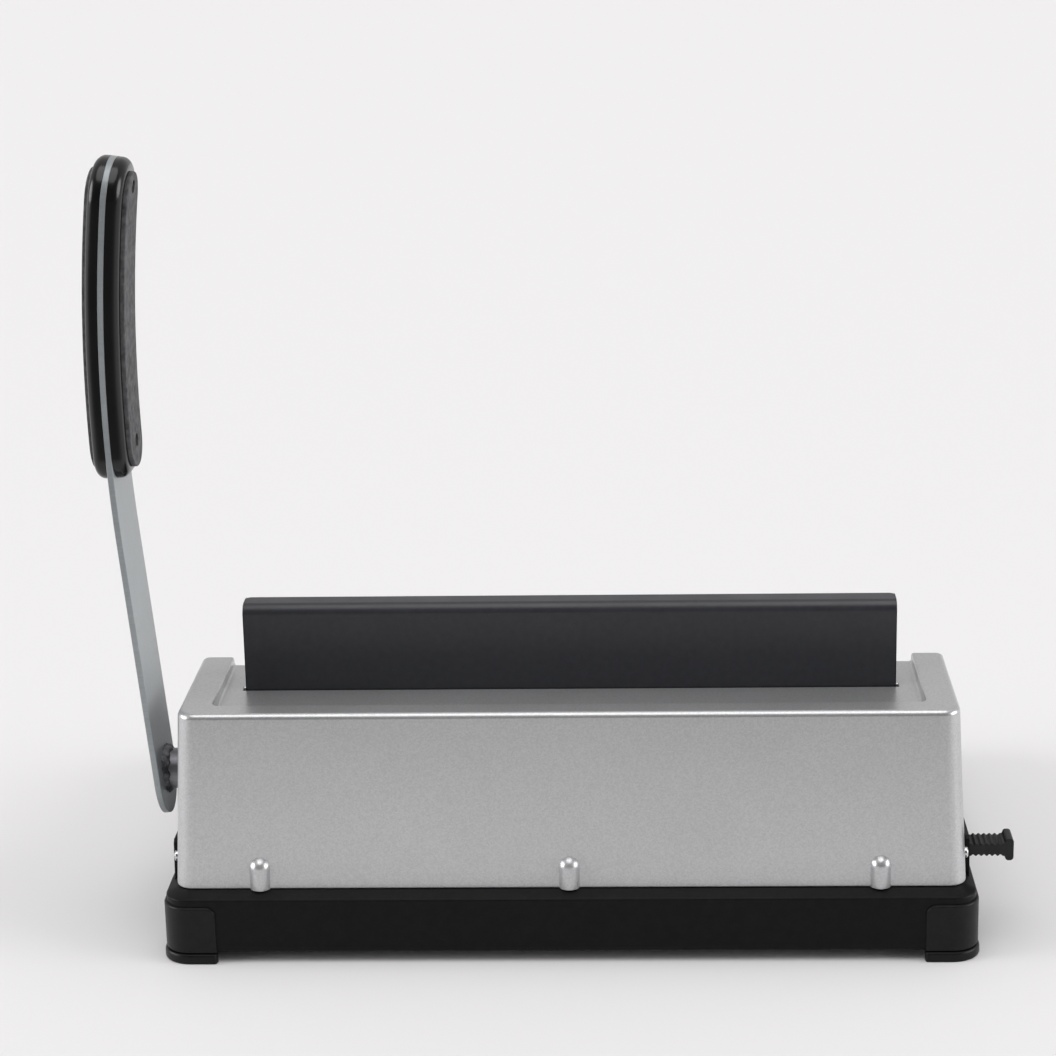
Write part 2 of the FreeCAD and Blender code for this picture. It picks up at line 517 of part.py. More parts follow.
def make_cam(x):
    """Cam whose flat follower drops by CAM_K for each radian: its edge is an involute of a circle."""
    points = []
    steps = 18
    for i in range(-1, steps + 1):
        turn = math.radians(LEVER_SWING + 2) * i / steps
        lift = CAM_START + CAM_K * turn
        points.append((-lift * math.sin(turn) - CAM_K * math.cos(turn),
                       -lift * math.cos(turn) + CAM_K * math.sin(turn)))
    spline = Part.BSplineCurve()
    spline.interpolate([Vector(x[0], SHAFT_Y + a, SHAFT_Z + b) for a, b in points])
    first, last = spline.value(spline.FirstParameter), spline.value(spline.LastParameter)
    back = Vector(x[0], SHAFT_Y - 6, SHAFT_Z + 10.5)
    middle = Vector(x[0], SHAFT_Y, SHAFT_Z)
    wire = Part.Wire([spline.toShape(), Part.makeLine(last, back), Part.makeLine(back, middle),
                      Part.makeLine(middle, first)])
    lobe = Part.Face(wire).extrude(Vector(x[1] - x[0], 0, 0))
    hub = rod(SHAFT_R + 2.7, (x[0], SHAFT_Y, SHAFT_Z), X, x[1] - x[0])
    flat = box((x[0] - 1, x[1] + 1), (SHAFT_Y - 20, SHAFT_Y + 20), (SHAFT_Z - 20, SHAFT_Z - CAM_START))
    return hub.cut(flat).fuse(lobe).removeSplitter()


# ---- frame and punch -----------------------------------------------------------------------
def frame_screw_set():
    """Screws through each side frame into the bridge, the die plate and the punch guide plate."""
    spots = [(74.0, 104.5), (90.0, 104.5), (52.0, 46.1), (70.0, 46.1), (50.0, 36.6), (98.0, 36.6)]
    screws = [screw((FRAME_X[1], y, z), X, 2.6, 1.5, 1.2, 10) for y, z in spots]
    return group(screws + [mirrored(s) for s in screws])


def side_screw_set():
    """Pan-head screws through the cover's sides into the side frames."""
    screws = []
    for y, z, x in ((109.6, 46.5, 187.75), (40.0, 62.0, 187.05)):
        screws.append(screw((x, y, z), X, 2.6, 1.9, 1.5, x - FRAME_X[0] - 0.5))
    return group(screws + [mirrored(s) for s in screws])


def make_frames(side_screws):
    outline_yz = [(24, 7.5), (24, 66), (36, 106), (106, 106), (113, 60), (113, 7.5)]
    frame = polygon_x(outline_yz, FRAME_X)
    bush_hole = rod(12.5, (160, SHAFT_Y, SHAFT_Z), X, 30)
    drawer_gap = box((160, 180), (30, 90), (0, 24))
    table_gap = box((160, 180), (20, 44), (DECK_TOP, THROAT_TOP))
    frame = cut_all(frame, [bush_hole, drawer_gap, table_gap])
    slide_slot = box((-180, -165), (SLIDE_Y[0] - 0.4, SLIDE_Y[1] + 0.4), (SLIDE_Z[0] - 0.4, SLIDE_Z[1] + 0.5))
    screws = [nodes["frame_screws"], side_screws]
    nodes["side_frame_right"] = cut_all(frame, screws)
    nodes["side_frame_left"] = cut_all(mirrored(frame), screws + [slide_slot])
    bush = rod(12.5, (FRAME_X[0], SHAFT_Y, SHAFT_Z), X, 6.5).fuse(
        rod(15.0, (FRAME_X[0] - 2.0, SHAFT_Y, SHAFT_Z), X, 2.0))
    bush = bush.cut(rod(SHAFT_R + RUN, (160, SHAFT_Y, SHAFT_Z), X, 30)).removeSplitter()
    nodes["bush_right"] = bush
    nodes["bush_left"] = mirrored(bush)
    bridge = box((-FRAME_X[0], FRAME_X[0]), (PLATE_REAR, 96), (103, 106)).fuse(
        box((-155, 155), (PLATE_REAR, PLATE_REAR + 3), (PLATE_LOW, 104))).removeSplitter()
    nodes["bridge"] = bridge.cut(nodes["frame_screws"]).cut(nodes["backrest_rivets"])
    rails = []
    for x in both_sides((169.0, FRAME_X[0])):
        rail = box(x, (31.5, 64), (86, 102))
        groove = both_sides((168.0, 171.0))[0 if x[0] > 0 else 1]
        rails.append(rail.cut(box(groove, (20, 66), (CARRIAGE_Z[0] - 0.15, CARRIAGE_Z[1] + 0.15))))
    nodes["carriage_rails"] = group(rails)


def make_spring(x, low, rise):
    """Compression spring round a guide post: six-sided wire, faceted along its turns."""
    turns, steps, sides, wire_r, coil_r = 6, 16, 6, 0.42, 4.45
    rings = []
    for i in range(turns * steps + 1):
        angle = 2 * math.pi * i / steps
        out = Vector(math.cos(angle), math.sin(angle), 0)
        centre = Vector(x, POST_Y, low + rise * i / (turns * steps)) + out * coil_r
        rings.append([centre + out * (wire_r * math.cos(a)) + Z * (wire_r * math.sin(a))
                      for a in [2 * math.pi * k / sides for k in range(sides)]])
    corners = [rings[0][::-1], rings[-1]]
    for near, far in zip(rings, rings[1:]):
        for k in range(sides):
            j = (k + 1) % sides
            corners += [[near[k], far[k], near[j]], [near[j], far[k], far[j]]]
    faces = [Part.Face(Part.makePolygon(loop + loop[:1])) for loop in corners]
    return Part.makeSolid(Part.makeShell(faces))


def make_punch():
    holes = [box((x - PUNCH_WIDE / 2 - RUN, x + PUNCH_WIDE / 2 + RUN),
                 (PUNCH_Y - PUNCH_DEEP / 2 - RUN, PUNCH_Y + PUNCH_DEEP / 2 + RUN), (20, 60))
             for x in ring_positions()]
    half = FRAME_X[0]
    die = box((-half, half), (44, 108), (DECK_TOP, TABLE_TOP))
    guide = box((-half, half), (50, 74), (THROAT_TOP, GUIDE_TOP))
    posts = [rod(POST_R, (x, POST_Y, TABLE_TOP), Z, 31) for x in (-POST_X, POST_X)]
    nodes["guide_posts"] = group(posts)
    nodes["die_plate"] = cut_all(die, holes + [nodes["frame_screws"]])
    nodes["punch_guide_plate"] = cut_all(guide, holes + [nodes["frame_screws"], nodes["guide_posts"]])
    spacers = [box(x, (50, 74), (TABLE_TOP, THROAT_TOP)) for x in both_sides((160.0, half))]
    nodes["throat_spacers"] = group(spacers)
    top = SHAFT_Z - CAM_START - CAM_GAP
    low = top - BEAM_THICK
    beam = box((-BEAM_HALF_X, BEAM_HALF_X), (52, 76), (low, top))
    bores = [rod(POST_R + RUN, (x, POST_Y, low - 1), Z, BEAM_THICK + 2) for x in (-POST_X, POST_X)]
    cups = [rod(5.3, (x, POST_Y, low - 1), Z, 6.5) for x in (-POST_X, POST_X)]
    pins = []
    for x in ring_positions():
        pins.append(box((x - PUNCH_WIDE / 2, x + PUNCH_WIDE / 2),
                        (PUNCH_Y - PUNCH_DEEP / 2, PUNCH_Y + PUNCH_DEEP / 2), (THROAT_TOP + 1.4, low + 5)))
    nodes["punch_pins"] = group(pins)
    nodes["punch_beam"] = cut_all(beam, bores + cups + [nodes["punch_pins"]])
    rise = low + 5.5 - GUIDE_TOP - 1.0
    springs = [make_spring(x, GUIDE_TOP + 0.5, rise) for x in (-POST_X, POST_X)]
    nodes["return_springs"] = group(springs)


# ---- paper path ----------------------------------------------------------------------------
def make_table():
    table = slab((-171, 171), (-122, 44), (DECK_TOP, TABLE_TOP), 2)
    grooves = [box((x - 0.8, x + 0.8), (-112, 0), (TABLE_TOP - 0.8, TABLE_TOP + 1))
               for x in [20 * i for i in range(-6, 7)]]
    slot = slab((122.5, 168.0), (-62.3, -57.7), (DECK_TOP - 1, TABLE_TOP + 1), 2.2)
    nodes["paper_table"] = cut_all(table, grooves + [slot])
    lip = polygon_x([(12.6, 44.2), (12.6, 45.3), (50, 45.1), (50, 43.6), (17.0, 43.6)],
                    (-171, 171))
    nodes["paper_guide_plate"] = lip
    fence = slab((149.0, 152.0), (-86, -6), (TABLE_TOP, 47), 1.2).fuse(
        slab((149.0, 161.0), (-72, -48), (TABLE_TOP, 41.5), 2.0))
    tongue = box((150.0, 158.0), (-62.0, -58.0), (DECK_TOP + 0.3, TABLE_TOP + 0.5))
    nodes["side_guide"] = fence.fuse(tongue).removeSplitter()


def tab_outline():
    """Pull tab in (x, z): ribs above and below, and a taller head with bevelled corners at the end."""
    low, high, rib, pitch, ribs = 42.0, 48.2, 0.8, 2.6, 6
    head_low, head_high, head_long, bevel = 39.8, 50.8, 3.4, 1.2
    start, end = TAB_X
    top, bottom = [(start, high)], [(start, low)]
    for i in range(ribs):
        x = start - 2.2 - pitch * i
        top += [(x, high), (x - 0.7, high - rib), (x - 1.4, high - rib), (x - 2.1, high)]
        bottom += [(x, low), (x - 0.7, low + rib), (x - 1.4, low + rib), (x - 2.1, low)]
    neck = end + head_long
    head = [(neck, high), (neck, head_high - bevel), (neck - bevel, head_high), (end + bevel, head_high),
            (end, head_high - bevel), (end, head_low + bevel), (end + bevel, head_low),
            (neck - bevel, head_low), (neck, head_low + bevel), (neck, low)]
    return top + head + bottom[::-1]


def make_margin():
    """Pull tab and slide bar along X; inclined slots in the bar move the back stop along Y."""
    low, high = SLIDE_Z
    bar = box((TAB_X[0] - 8, 150), SLIDE_Y, SLIDE_Z).cut(
        box((TAB_X[0] - 9, TAB_X[0]), (SLIDE_Y[0] - 1, SLIDE_Y[0] + 3), (low - 1, high + 1))).cut(
        box((TAB_X[0] - 9, TAB_X[0]), (SLIDE_Y[1] - 3, SLIDE_Y[1] + 1), (low - 1, high + 1))).cut(
        box((TAB_X[0] - 9, TAB_X[0]), SLIDE_Y, (high - 1.4, high + 1)))
    middle = (SLIDE_Y[0] + SLIDE_Y[1]) / 2 + 1.5
    pins, slots = [], []
    for x in (-STOP_X, STOP_X):
        pins.append(rod(2.0, (x, middle, THROAT_TOP - 0.3), Z, 4.0))
        ends = [(x, middle), (x + SLIDE_TRAVEL, middle + SLIDE_TRAVEL * -STOP_RATIO)]
        for cx, cy in ends:
            slots.append(rod(2.06, (cx, cy, low - 1), Z, 8))
        (ax, ay), (bx, by) = ends
        length = math.hypot(bx - ax, by - ay)
        nx, ny = -(by - ay) / length * 2.06, (bx - ax) / length * 2.06
        ring = [Vector(ax + nx, ay + ny, low - 1), Vector(bx + nx, by + ny, low - 1),
                Vector(bx - nx, by - ny, low - 1), Vector(ax - nx, ay - ny, low - 1)]
        slots.append(Part.Face(Part.makePolygon(ring + ring[:1])).extrude(Vector(0, 0, 8)))
    nodes["stop_pins"] = group(pins)
    nodes["margin_slide_bar"] = cut_all(bar, slots)

    stop = box((-149, 149), (STOP_Y, 84), (TABLE_TOP + 0.1, THROAT_TOP - 0.3))
    tongues = [box((x - 15, x + 15), (83, 103), (TABLE_TOP + 0.1, THROAT_TOP - 0.3))
               for x in (-STOP_X, STOP_X)]
    nodes["back_stop"] = stop.fuse(tongues).removeSplitter()

    portals = []
    for x in (-STOP_X, STOP_X):
        for side in (-1, 1):
            span = sorted((x + side * 15.3, x + side * 21.3))
            portal = box(span, (88.0, 107.3), (TABLE_TOP, 51.5))
            portals.append(portal.cut(box((span[0] - 1, span[1] + 1), (SLIDE_Y[0] - 0.1, SLIDE_Y[1] + 0.1),
                                          (SLIDE_Z[0] - 0.1, SLIDE_Z[1] + 0.1))))
    nodes["margin_guides"] = group(portals)

    tab = polygon_y(tab_outline(), SLIDE_Y).cut(nodes["margin_slide_bar"])
    pin = rod(1.5, (TAB_X[0] - 4.9, (SLIDE_Y[0] + SLIDE_Y[1]) / 2, 42.6), Z, 4.2)
    nodes["tab_pin"] = pin
    nodes["margin_tab"] = tab.cut(pin)
    nodes["margin_slide_bar"] = nodes["margin_slide_bar"].cut(pin)


def make_drawer():
    body = slab((-138, 138), (-128, 84), (8.7, 28.5), 3)
    panel = slab((-141.4, 141.4), (-BASE_HALF_Y - 0.8, -BASE_HALF_Y + 4.0), (8.0, 29.3), 1.0)
    inside = slab((-136, 136), (-123, 82), (10.7, 40), 2)
    scoop = Part.makeCylinder(26, 3.0, Vector(0, -BASE_HALF_Y - 1, 40), Y)
    nodes["chip_drawer"] = body.fuse(panel).removeSplitter().cut(inside).cut(scoop)


# ---- assembly ------------------------------------------------------------------------------
def build():
    side_screws = side_screw_set()
    nodes["side_screws"] = side_screws
    nodes["frame_screws"] = frame_screw_set()
    make_base()
    make_feet()
    make_cover(side_screws)
    make_backrest()
    make_fingers()
    make_hooks()
    make_lever()
    make_shaft_parts()
    make_frames(side_screws)
    make_punch()
    make_table()
    make_margin()
    make_drawer()


def export():
    os.makedirs("parts", exist_ok=True)
    for old in os.listdir("parts"):
        os.remove(os.path.join("parts", old))
    for name, shape in nodes.items():
        placed = shape.copy()
        placed.translate(Vector(ORIGIN_SHIFT, 0, 0))
        placed.exportStep("parts/%s.step" % name)


build()
export()
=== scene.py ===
import math

import bpy
import numpy as np
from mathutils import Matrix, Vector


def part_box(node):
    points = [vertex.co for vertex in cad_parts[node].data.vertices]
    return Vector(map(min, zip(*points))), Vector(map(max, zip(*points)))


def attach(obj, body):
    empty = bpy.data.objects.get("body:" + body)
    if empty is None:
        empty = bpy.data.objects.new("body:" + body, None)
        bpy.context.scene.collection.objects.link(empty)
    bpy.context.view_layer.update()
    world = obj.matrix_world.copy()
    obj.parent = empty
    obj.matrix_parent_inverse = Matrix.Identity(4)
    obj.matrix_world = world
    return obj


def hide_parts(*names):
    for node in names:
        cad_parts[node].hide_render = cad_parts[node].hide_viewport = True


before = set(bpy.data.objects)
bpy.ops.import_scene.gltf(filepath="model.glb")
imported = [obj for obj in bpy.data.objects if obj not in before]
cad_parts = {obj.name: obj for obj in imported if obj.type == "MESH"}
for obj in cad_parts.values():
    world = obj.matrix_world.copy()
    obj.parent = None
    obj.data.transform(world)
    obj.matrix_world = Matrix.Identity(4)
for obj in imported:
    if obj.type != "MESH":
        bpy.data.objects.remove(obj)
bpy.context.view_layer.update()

# Comb binding machine: painted cover, black base on rubber corners, upright side lever.
# Shapes are laid out in millimetres about the middle of the base; solid() moves them into the frame.

MM = 0.001


def low_high(node):
    """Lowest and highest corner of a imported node, in millimetres."""
    return [np.array(corner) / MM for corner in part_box(node)]


# ---- sizes ---------------------------------------------------------------------------------
BASE_BOX = low_high("base_shell")
MIDDLE = np.array([(BASE_BOX[0][0] + BASE_BOX[1][0]) / 2, 0.0, 0.0])
BASE_HALF = (BASE_BOX[1] - BASE_BOX[0])[:2] / 2
BASE_LOW, CHEEK_TOP = BASE_BOX[0][2], BASE_BOX[1][2]
BASE_SIDE_TOP, DECK_TOP, SHOULDER, BASE_CORNER = 32.3, 34.4, 7.5, 12.0
CHEEK_X, CHEEK_REAR = (188.7, 191.0), 106.5
BASE_WALL, DECK_THICK, BASE_INNER_CORNER = 4.0, 3.0, 8.0
DECK_HOLE_HALF_X, DECK_HOLE_Y = 177.0, (18.0, 114.0)
MOUTH_HALF_X, MOUTH_Z = 142.0, (7.5, 29.8)

FOOT_LONG, FOOT_PROUD, FOOT_FLARE, FOOT_INSET, FOOT_LIP = 25.0, 1.2, 2.0, -1.4, 5.5
FOOT_TOP = low_high("foot_rear_right")[1][2]

COVER_BOX = low_high("rear_cover")
COVER_TOP = COVER_BOX[1][2]
COVER_BOTTOM_X, COVER_TOP_X = (COVER_BOX[1] - COVER_BOX[0])[0] / 2, 184.5
COVER_FRONT, COVER_REAR = (8.0, 33.6), (122.0, 117.0)
COVER_CORNERS = np.array([3.6, 9.0])  # front and rear
COVER_EDGE, COVER_WALL, COVER_HEM, COVER_BEVEL = 2.6, 2.5, 0.7, 1.15
RECESS_FLOOR, RECESS_HALF_X, RECESS_REAR, RECESS_CORNER = 115.2, 169.0, 103.6, 3.0
WINDOW_HALF_X, WINDOW_Y, PLATE_ROOM, SHAFT_ROOM = 156.0, (36.4, 66.0), 1.2, 1.0
THROAT_HALF_X, THROAT_DEEP, THROAT_TOP = 176.0, 24.0, 45.5
BOSS_R, BOSS_PITCH, BOSS_Y, BOSS_TOP = 5.1, 147.3, 120.2, 50.0

PLATE_BOX = low_high("comb_backrest")
PLATE_THICK, PLATE_BEND, PLATE_HALF_X = 2.0, 5.0, (PLATE_BOX[1] - PLATE_BOX[0])[0] / 2

SHAFT_BOX = low_high("lever_shaft") - MIDDLE
SHAFT_Y, SHAFT_Z = (SHAFT_BOX[0][1:] + SHAFT_BOX[1][1:]) / 2
SHAFT_R = (SHAFT_BOX[1] - SHAFT_BOX[0])[2] / 2
BAR_BOX = low_high("lever_bar")
BAR_LOW, BAR_TOP, BAR_HALF_Y = BAR_BOX[0][2], BAR_BOX[1][2], (BAR_BOX[1] - BAR_BOX[0])[1] / 2
BAR_HALF_THICK, BAR_LEAN, END_R = 1.5, math.radians(5.21), 19.0
LEVER_X, BEND_START, BEND_R = 198.7, 198.5, 792.0
BEND_CENTRE_X = LEVER_X + (BEND_START - SHAFT_Z) * math.tan(BAR_LEAN) - BEND_R * math.cos(BAR_LEAN)
BEND_CENTRE_Z = BEND_START + BEND_R * math.sin(BAR_LEAN)
SCALE_THICK, SCALE_LOW, SCALE_TOP, SCALE_CORNER, SCALE_ROUND = 6.5, 228.7, 379.6, 12.0, 4.5
PAD_THICK, PAD_HALF_Y, PAD_LOW, PAD_TOP, PAD_ROUND = 2.0, 13.5, 231.8, 373.6, 0.7
GRIP_HOLE_R, GRIP_HOLE_Z = 3.2, (244.4, 366.8)

WELD_LONG, WELD_HIGH, WELD_SINK = 4.0, 2.4, 0.4

SLIDE_Y, TAB_WINDOW_Z, WINDOW_ROOM = (91.3, 104.0), (41.5, 48.7), 0.5
TAB_ROOT, TAB_LONG, TAB_MIDDLE, TAB_HALF = -190.8, 21.4, 45.1, 3.25
TAB_RIBS, TAB_RIB_PITCH, TAB_RIB = (0.8, 16.4), 2.6, 0.85
TAB_HEAD_START, TAB_HEAD_HALF, TAB_HEAD_ROUND = 17.2, 5.5, 1.6

# The stage is laid out in metres and degrees.
CAMERA_PLACE, LENS, SENSOR, SHIFT = (-0.03905, 1.26371, 0.55626), 88.82, 36.0, (-0.0413, -0.0926)
CAMERA_TURN, CAMERA_TILT, CAMERA_ROLL = 180 + 1.728, 90 - 14.590, -0.947
ROOM_FAR, ROOM_NEAR, BACKDROP, ROOM_COLOUR = 0.62, 0.12, 0.84, (1.0, 0.985, 0.99, 1)
# The second colour on this line, with the span and share on the next, paints a dark reflection onto what
# shines: glossy rays see the floor near black towards the viewer's side.
FLOOR_HALF, FLOOR_COLOUR, DARK_REFLECTION_COLOUR = 14.0, (0.79, 0.782, 0.786, 1), (0.03, 0.03, 0.03, 1)
DARK_REFLECTION_FADE, DARK_REFLECTION_SHARE = (0.4, 1.0), 0.85
LIGHTS = {"top_light": ((0.0, 0.22, 1.0), 50.0, 1.2),
          "left_light": ((0.95, 0.16, 0.22), 40.0, 2.1),
          "right_light": ((-0.95, 0.16, 0.22), 40.0, 1.85)}


# ---- mesh helpers --------------------------------------------------------------------------
def rounded_outline(x, y, radius, steps=8):
    """Rectangle with round corners, anticlockwise: each corner is a quarter circle about its centre.
    The radius is one number, or one for the low-y corners and one for the high-y corners."""
    (x0, x1), (y0, y1) = x, y
    near, far = np.broadcast_to(radius, 2)
    turn = np.linspace(0, np.pi / 2, steps + 1)
    corners = [(x1 - near, y0 + near, near, 3), (x1 - far, y1 - far, far, 0),
               (x0 + far, y1 - far, far, 1), (x0 + near, y0 + near, near, 2)]
    arcs = [np.stack([cx + r * np.cos(turn + q * np.pi / 2),
                      cy + r * np.sin(turn + q * np.pi / 2)], -1) for cx, cy, r, q in corners]
    return np.concatenate(arcs)


def stack(outlines, heights):
    """Rings from flat outlines in x and y, each lifted to its height."""
    return np.stack([np.column_stack([o, np.full(len(o), z)]) for o, z in zip(outlines, heights)])


def block(x, y, z, radius=0.01, steps=4):
    """Upright block with round vertical corners, as two rings."""
    plan = rounded_outline(x, y, radius, steps)
    return stack([plan, plan], z)


def prism_x(profile, stations):
    """A profile of (y, z) points carried along x through the stations."""
    profile = np.asarray(profile, float)
    return np.stack([np.column_stack([np.full(len(profile), x), profile]) for x in stations])


def prism_y(profile, stations):
    """A profile of (x, z) points carried along y through the stations."""
    profile = np.asarray(profile, float)
    return np.stack([np.column_stack([profile[:, 0], np.full(len(profile), y), profile[:, 1]])
                     for y in stations])


def turned(profile, start, axis, count=32):
    """Rings about an axis: profile holds (distance along the axis, radius) pairs."""
    axis = np.asarray(axis, float) / np.linalg.norm(axis)
    side = np.cross(axis, (0.0, 0.0, 1.0) if abs(axis[2]) < 0.9 else (0.0, 1.0, 0.0))
    side /= np.linalg.norm(side)
    other = np.cross(axis, side)
    angle = np.linspace(0, 2 * np.pi, count, endpoint=False)
    round_ = np.cos(angle)[:, None] * side + np.sin(angle)[:, None] * other
    return np.stack([np.asarray(start, float) + axis * along + round_ * radius
                     for along, radius in profile])


def quarter(radius, steps=6):
    """Inset and drop along a quarter round, from the wall (radius, 0) to the top (0 drop, full inset)."""
    turn = np.linspace(0, np.pi / 2, steps + 1)
    return [(radius * (1 - math.cos(a)), radius * (1 - math.sin(a))) for a in turn]


def skin(rings):
    """Quads between neighbouring rings, and a flat cap over the first and the last ring."""
    rows, count, _ = rings.shape
    row, column = np.meshgrid(np.arange(rows - 1), np.arange(count), indexing="ij")
    here, beside = row * count + column, row * count + (column + 1) % count
    quads = np.stack([here, beside, beside + count, here + count], -1).reshape(-1, 4)
    caps = [np.arange(count)[::-1], (rows - 1) * count + np.arange(count)]
    return rings.reshape(-1, 3), quads, caps


def signed_volume(points, quads, caps):
    """Sum of the corner tetrahedra under every triangle: negative where the faces point inwards."""
    fans = [np.stack([np.full(len(cap) - 2, cap[0]), cap[1:-1], cap[2:]], -1) for cap in caps]
    triangles = np.concatenate([quads[:, [0, 1, 2]], quads[:, [0, 2, 3]]] + fans)
    a, b, c = np.moveaxis(points[triangles], 1, 0)
    return np.einsum("ij,ij->", a, np.cross(b, c)) / 6


def solid(name, rings):
    """Closed mesh object over a stack of rings, moved into the frame, faces outwards."""
    points, quads, caps = skin(np.asarray(rings, float))
    if signed_volume(points, quads, caps) < 0:
        quads, caps = quads[:, ::-1], [cap[::-1] for cap in caps]
    mesh = bpy.data.meshes.new(name)
    mesh.from_pydata(((points + MIDDLE) * MM).tolist(), [], quads.tolist() + [cap.tolist() for cap in caps])
    mesh.shade_smooth()
    piece = bpy.data.objects.new(name, mesh)
    bpy.context.scene.collection.objects.link(piece)
    return piece


def settle(piece):
    """Turns a piece's modifiers into its own mesh."""
    graph = bpy.context.evaluated_depsgraph_get()
    mesh = bpy.data.meshes.new_from_object(piece.evaluated_get(graph))
    piece.modifiers.clear()
    piece.data = mesh
    mesh.name = piece.name
    return piece


def combine(piece, operation, shapes):
    """Adds shapes to a piece (UNION) or takes them away (DIFFERENCE); shapes are stacks of rings."""
    tools = [solid("tool_%d" % i, rings) for i, rings in enumerate(shapes)]
    for tool in tools:
        modifier = piece.modifiers.new("combine", "BOOLEAN")
        modifier.operation = operation
        modifier.solver = "EXACT"
        modifier.object = tool
    settle(piece)
    for tool in tools:
        bpy.data.meshes.remove(tool.data)
    return piece


def ease(piece, width, segments=3, angle=35.0):
    """Rounds the sharp edges by width millimetres."""
    bevel = piece.modifiers.new("eased_edges", "BEVEL")
    bevel.width = width * MM
    bevel.segments = segments
    bevel.limit_method = "ANGLE"
    bevel.angle_limit = math.radians(angle)
    bevel.use_clamp_overlap = False
    bevel.miter_outer = "MITER_ARC"
    return piece


def even_normals(piece):
    """Flat faces keep their own direction and the rounded edges turn between them."""
    normals = piece.modifiers.new("even_normals", "WEIGHTED_NORMAL")
    normals.keep_sharp = True
    normals.weight = 80
    return piece


def smooth(piece, angle=42.0):
    """Smooth shading that breaks only where two faces meet at more than the angle."""
    settle(piece)
    piece.data.shade_smooth()
    piece.data.set_sharp_from_angle(angle=math.radians(angle))
    return even_normals(piece)


def set_piece(piece, body, slot, material, *nodes):
    """Puts a finished piece on its body, with its finish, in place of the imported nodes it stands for."""
    piece.data.materials.clear()
    piece.data.materials.append(material)
    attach(piece, body)
    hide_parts(*nodes)
    return piece


# ---- shader helpers ------------------------------------------------------------------------
def add_node(tree, kind, settings=None, **inputs):
    """New shader node: settings are its own properties, inputs are values or sockets to link. An input
    is given by its name, or as in0, in1 and so on by its place."""
    node = tree.nodes.new(kind)
    for key, value in (settings or {}).items():
        setattr(node, key, value)
    for key, value in inputs.items():
        socket = node.inputs[int(key[2:]) if key.startswith("in") else key.replace("_", " ")]
        if isinstance(value, bpy.types.NodeSocket):
            tree.links.new(value, socket)
        else:
            socket.default_value = value
    return node


def effect(name, inputs, outputs):
    """Empty shader node group with named number inputs and outputs; returns it with its two end nodes."""
    group = bpy.data.node_groups.new(name, "ShaderNodeTree")
    group.interface.new_socket("Vector", in_out="INPUT", socket_type="NodeSocketVector")
    for label, value in inputs:
        socket = group.interface.new_socket(label, in_out="INPUT", socket_type="NodeSocketFloat")
        socket.default_value = value
    for label in outputs:
        group.interface.new_socket(label, in_out="OUTPUT", socket_type="NodeSocketFloat")
    return group, group.nodes.new("NodeGroupInput"), group.nodes.new("NodeGroupOutput")


def make_flake_effect():
    """Metal flake in paint: each tiny cell has its own tone, over slow clouds in the lay of the flake."""
    group, start, end = effect("flake", [("Scale", 2600.0), ("Clouds", 9.0)], ["Flake", "Cloud"])
    cells = add_node(group, "ShaderNodeTexVoronoi", Vector=start.outputs["Vector"],
                     Scale=start.outputs["Scale"])
    tone = add_node(group, "ShaderNodeSeparateColor", in0=cells.outputs["Color"])
    clouds = add_node(group, "ShaderNodeTexNoise", Vector=start.outputs["Vector"],
                      Scale=start.outputs["Clouds"], Detail=3.0, Roughness=0.6)
    group.links.new(tone.outputs[0], end.inputs["Flake"])
    group.links.new(clouds.outputs[0], end.inputs["Cloud"])
    return group


def make_grain_effect():
    """Moulded or sprayed grain: two sizes of noise added as a height, and the coarse one as a mask."""
    group, start, end = effect("grain", [("Scale", 1400.0), ("Coarse", 260.0)], ["Height", "Mask"])
    fine = add_node(group, "ShaderNodeTexNoise", Vector=start.outputs["Vector"],
                    Scale=start.outputs["Scale"], Detail=2.0, Roughness=0.55)
    coarse = add_node(group, "ShaderNodeTexNoise", Vector=start.outputs["Vector"],
                      Scale=start.outputs["Coarse"], Detail=4.0, Roughness=0.6)
    both = add_node(group, "ShaderNodeMath", {"operation": "MULTIPLY_ADD"}, in0=coarse.outputs[0],
                    in1=0.35, in2=fine.outputs[0])
    group.links.new(both.outputs[0], end.inputs["Height"])
    group.links.new(coarse.outputs[0], end.inputs["Mask"])
    return group


def make_handling_effect():
    """Traces of use: wide soft smudges and thin dust that settles in a speckled film."""
    group, start, end = effect("handling", [("Smudge", 22.0), ("Dust", 900.0)], ["Smudges", "Specks"])
    smudge = add_node(group, "ShaderNodeTexNoise", Vector=start.outputs["Vector"],
                      Scale=start.outputs["Smudge"], Detail=5.0, Roughness=0.55, Distortion=0.6)
    specks = add_node(group, "ShaderNodeTexVoronoi", Vector=start.outputs["Vector"],
                      Scale=start.outputs["Dust"])
    dots = add_node(group, "ShaderNodeMapRange", Value=specks.outputs["Distance"], From_Min=0.05,
                    From_Max=0.14, To_Min=1.0, To_Max=0.0)
    group.links.new(smudge.outputs[0], end.inputs["Smudges"])
    group.links.new(dots.outputs[0], end.inputs["Specks"])
    return group


def make_brushing_effect():
    """Drawn steel: noise stretched a hundredfold along one axis, and slow bands across it."""
    group, start, end = effect("brushing", [("Scale", 1800.0)], ["Lines", "Bands"])
    stretch = add_node(group, "ShaderNodeMapping", Vector=start.outputs["Vector"])
    stretch.inputs["Scale"].default_value = (0.02, 1.0, 1.0)
    lines = add_node(group, "ShaderNodeTexNoise", Vector=stretch.outputs[0],
                     Scale=start.outputs["Scale"], Detail=3.0, Roughness=0.6)
    bands = add_node(group, "ShaderNodeTexNoise", Vector=start.outputs["Vector"], Scale=45.0, Detail=3.0)
    group.links.new(lines.outputs[0], end.inputs["Lines"])
    group.links.new(bands.outputs[0], end.inputs["Bands"])
    return group


EFFECTS = {"flake": make_flake_effect(), "grain": make_grain_effect(),
           "handling": make_handling_effect(), "brushing": make_brushing_effect()}


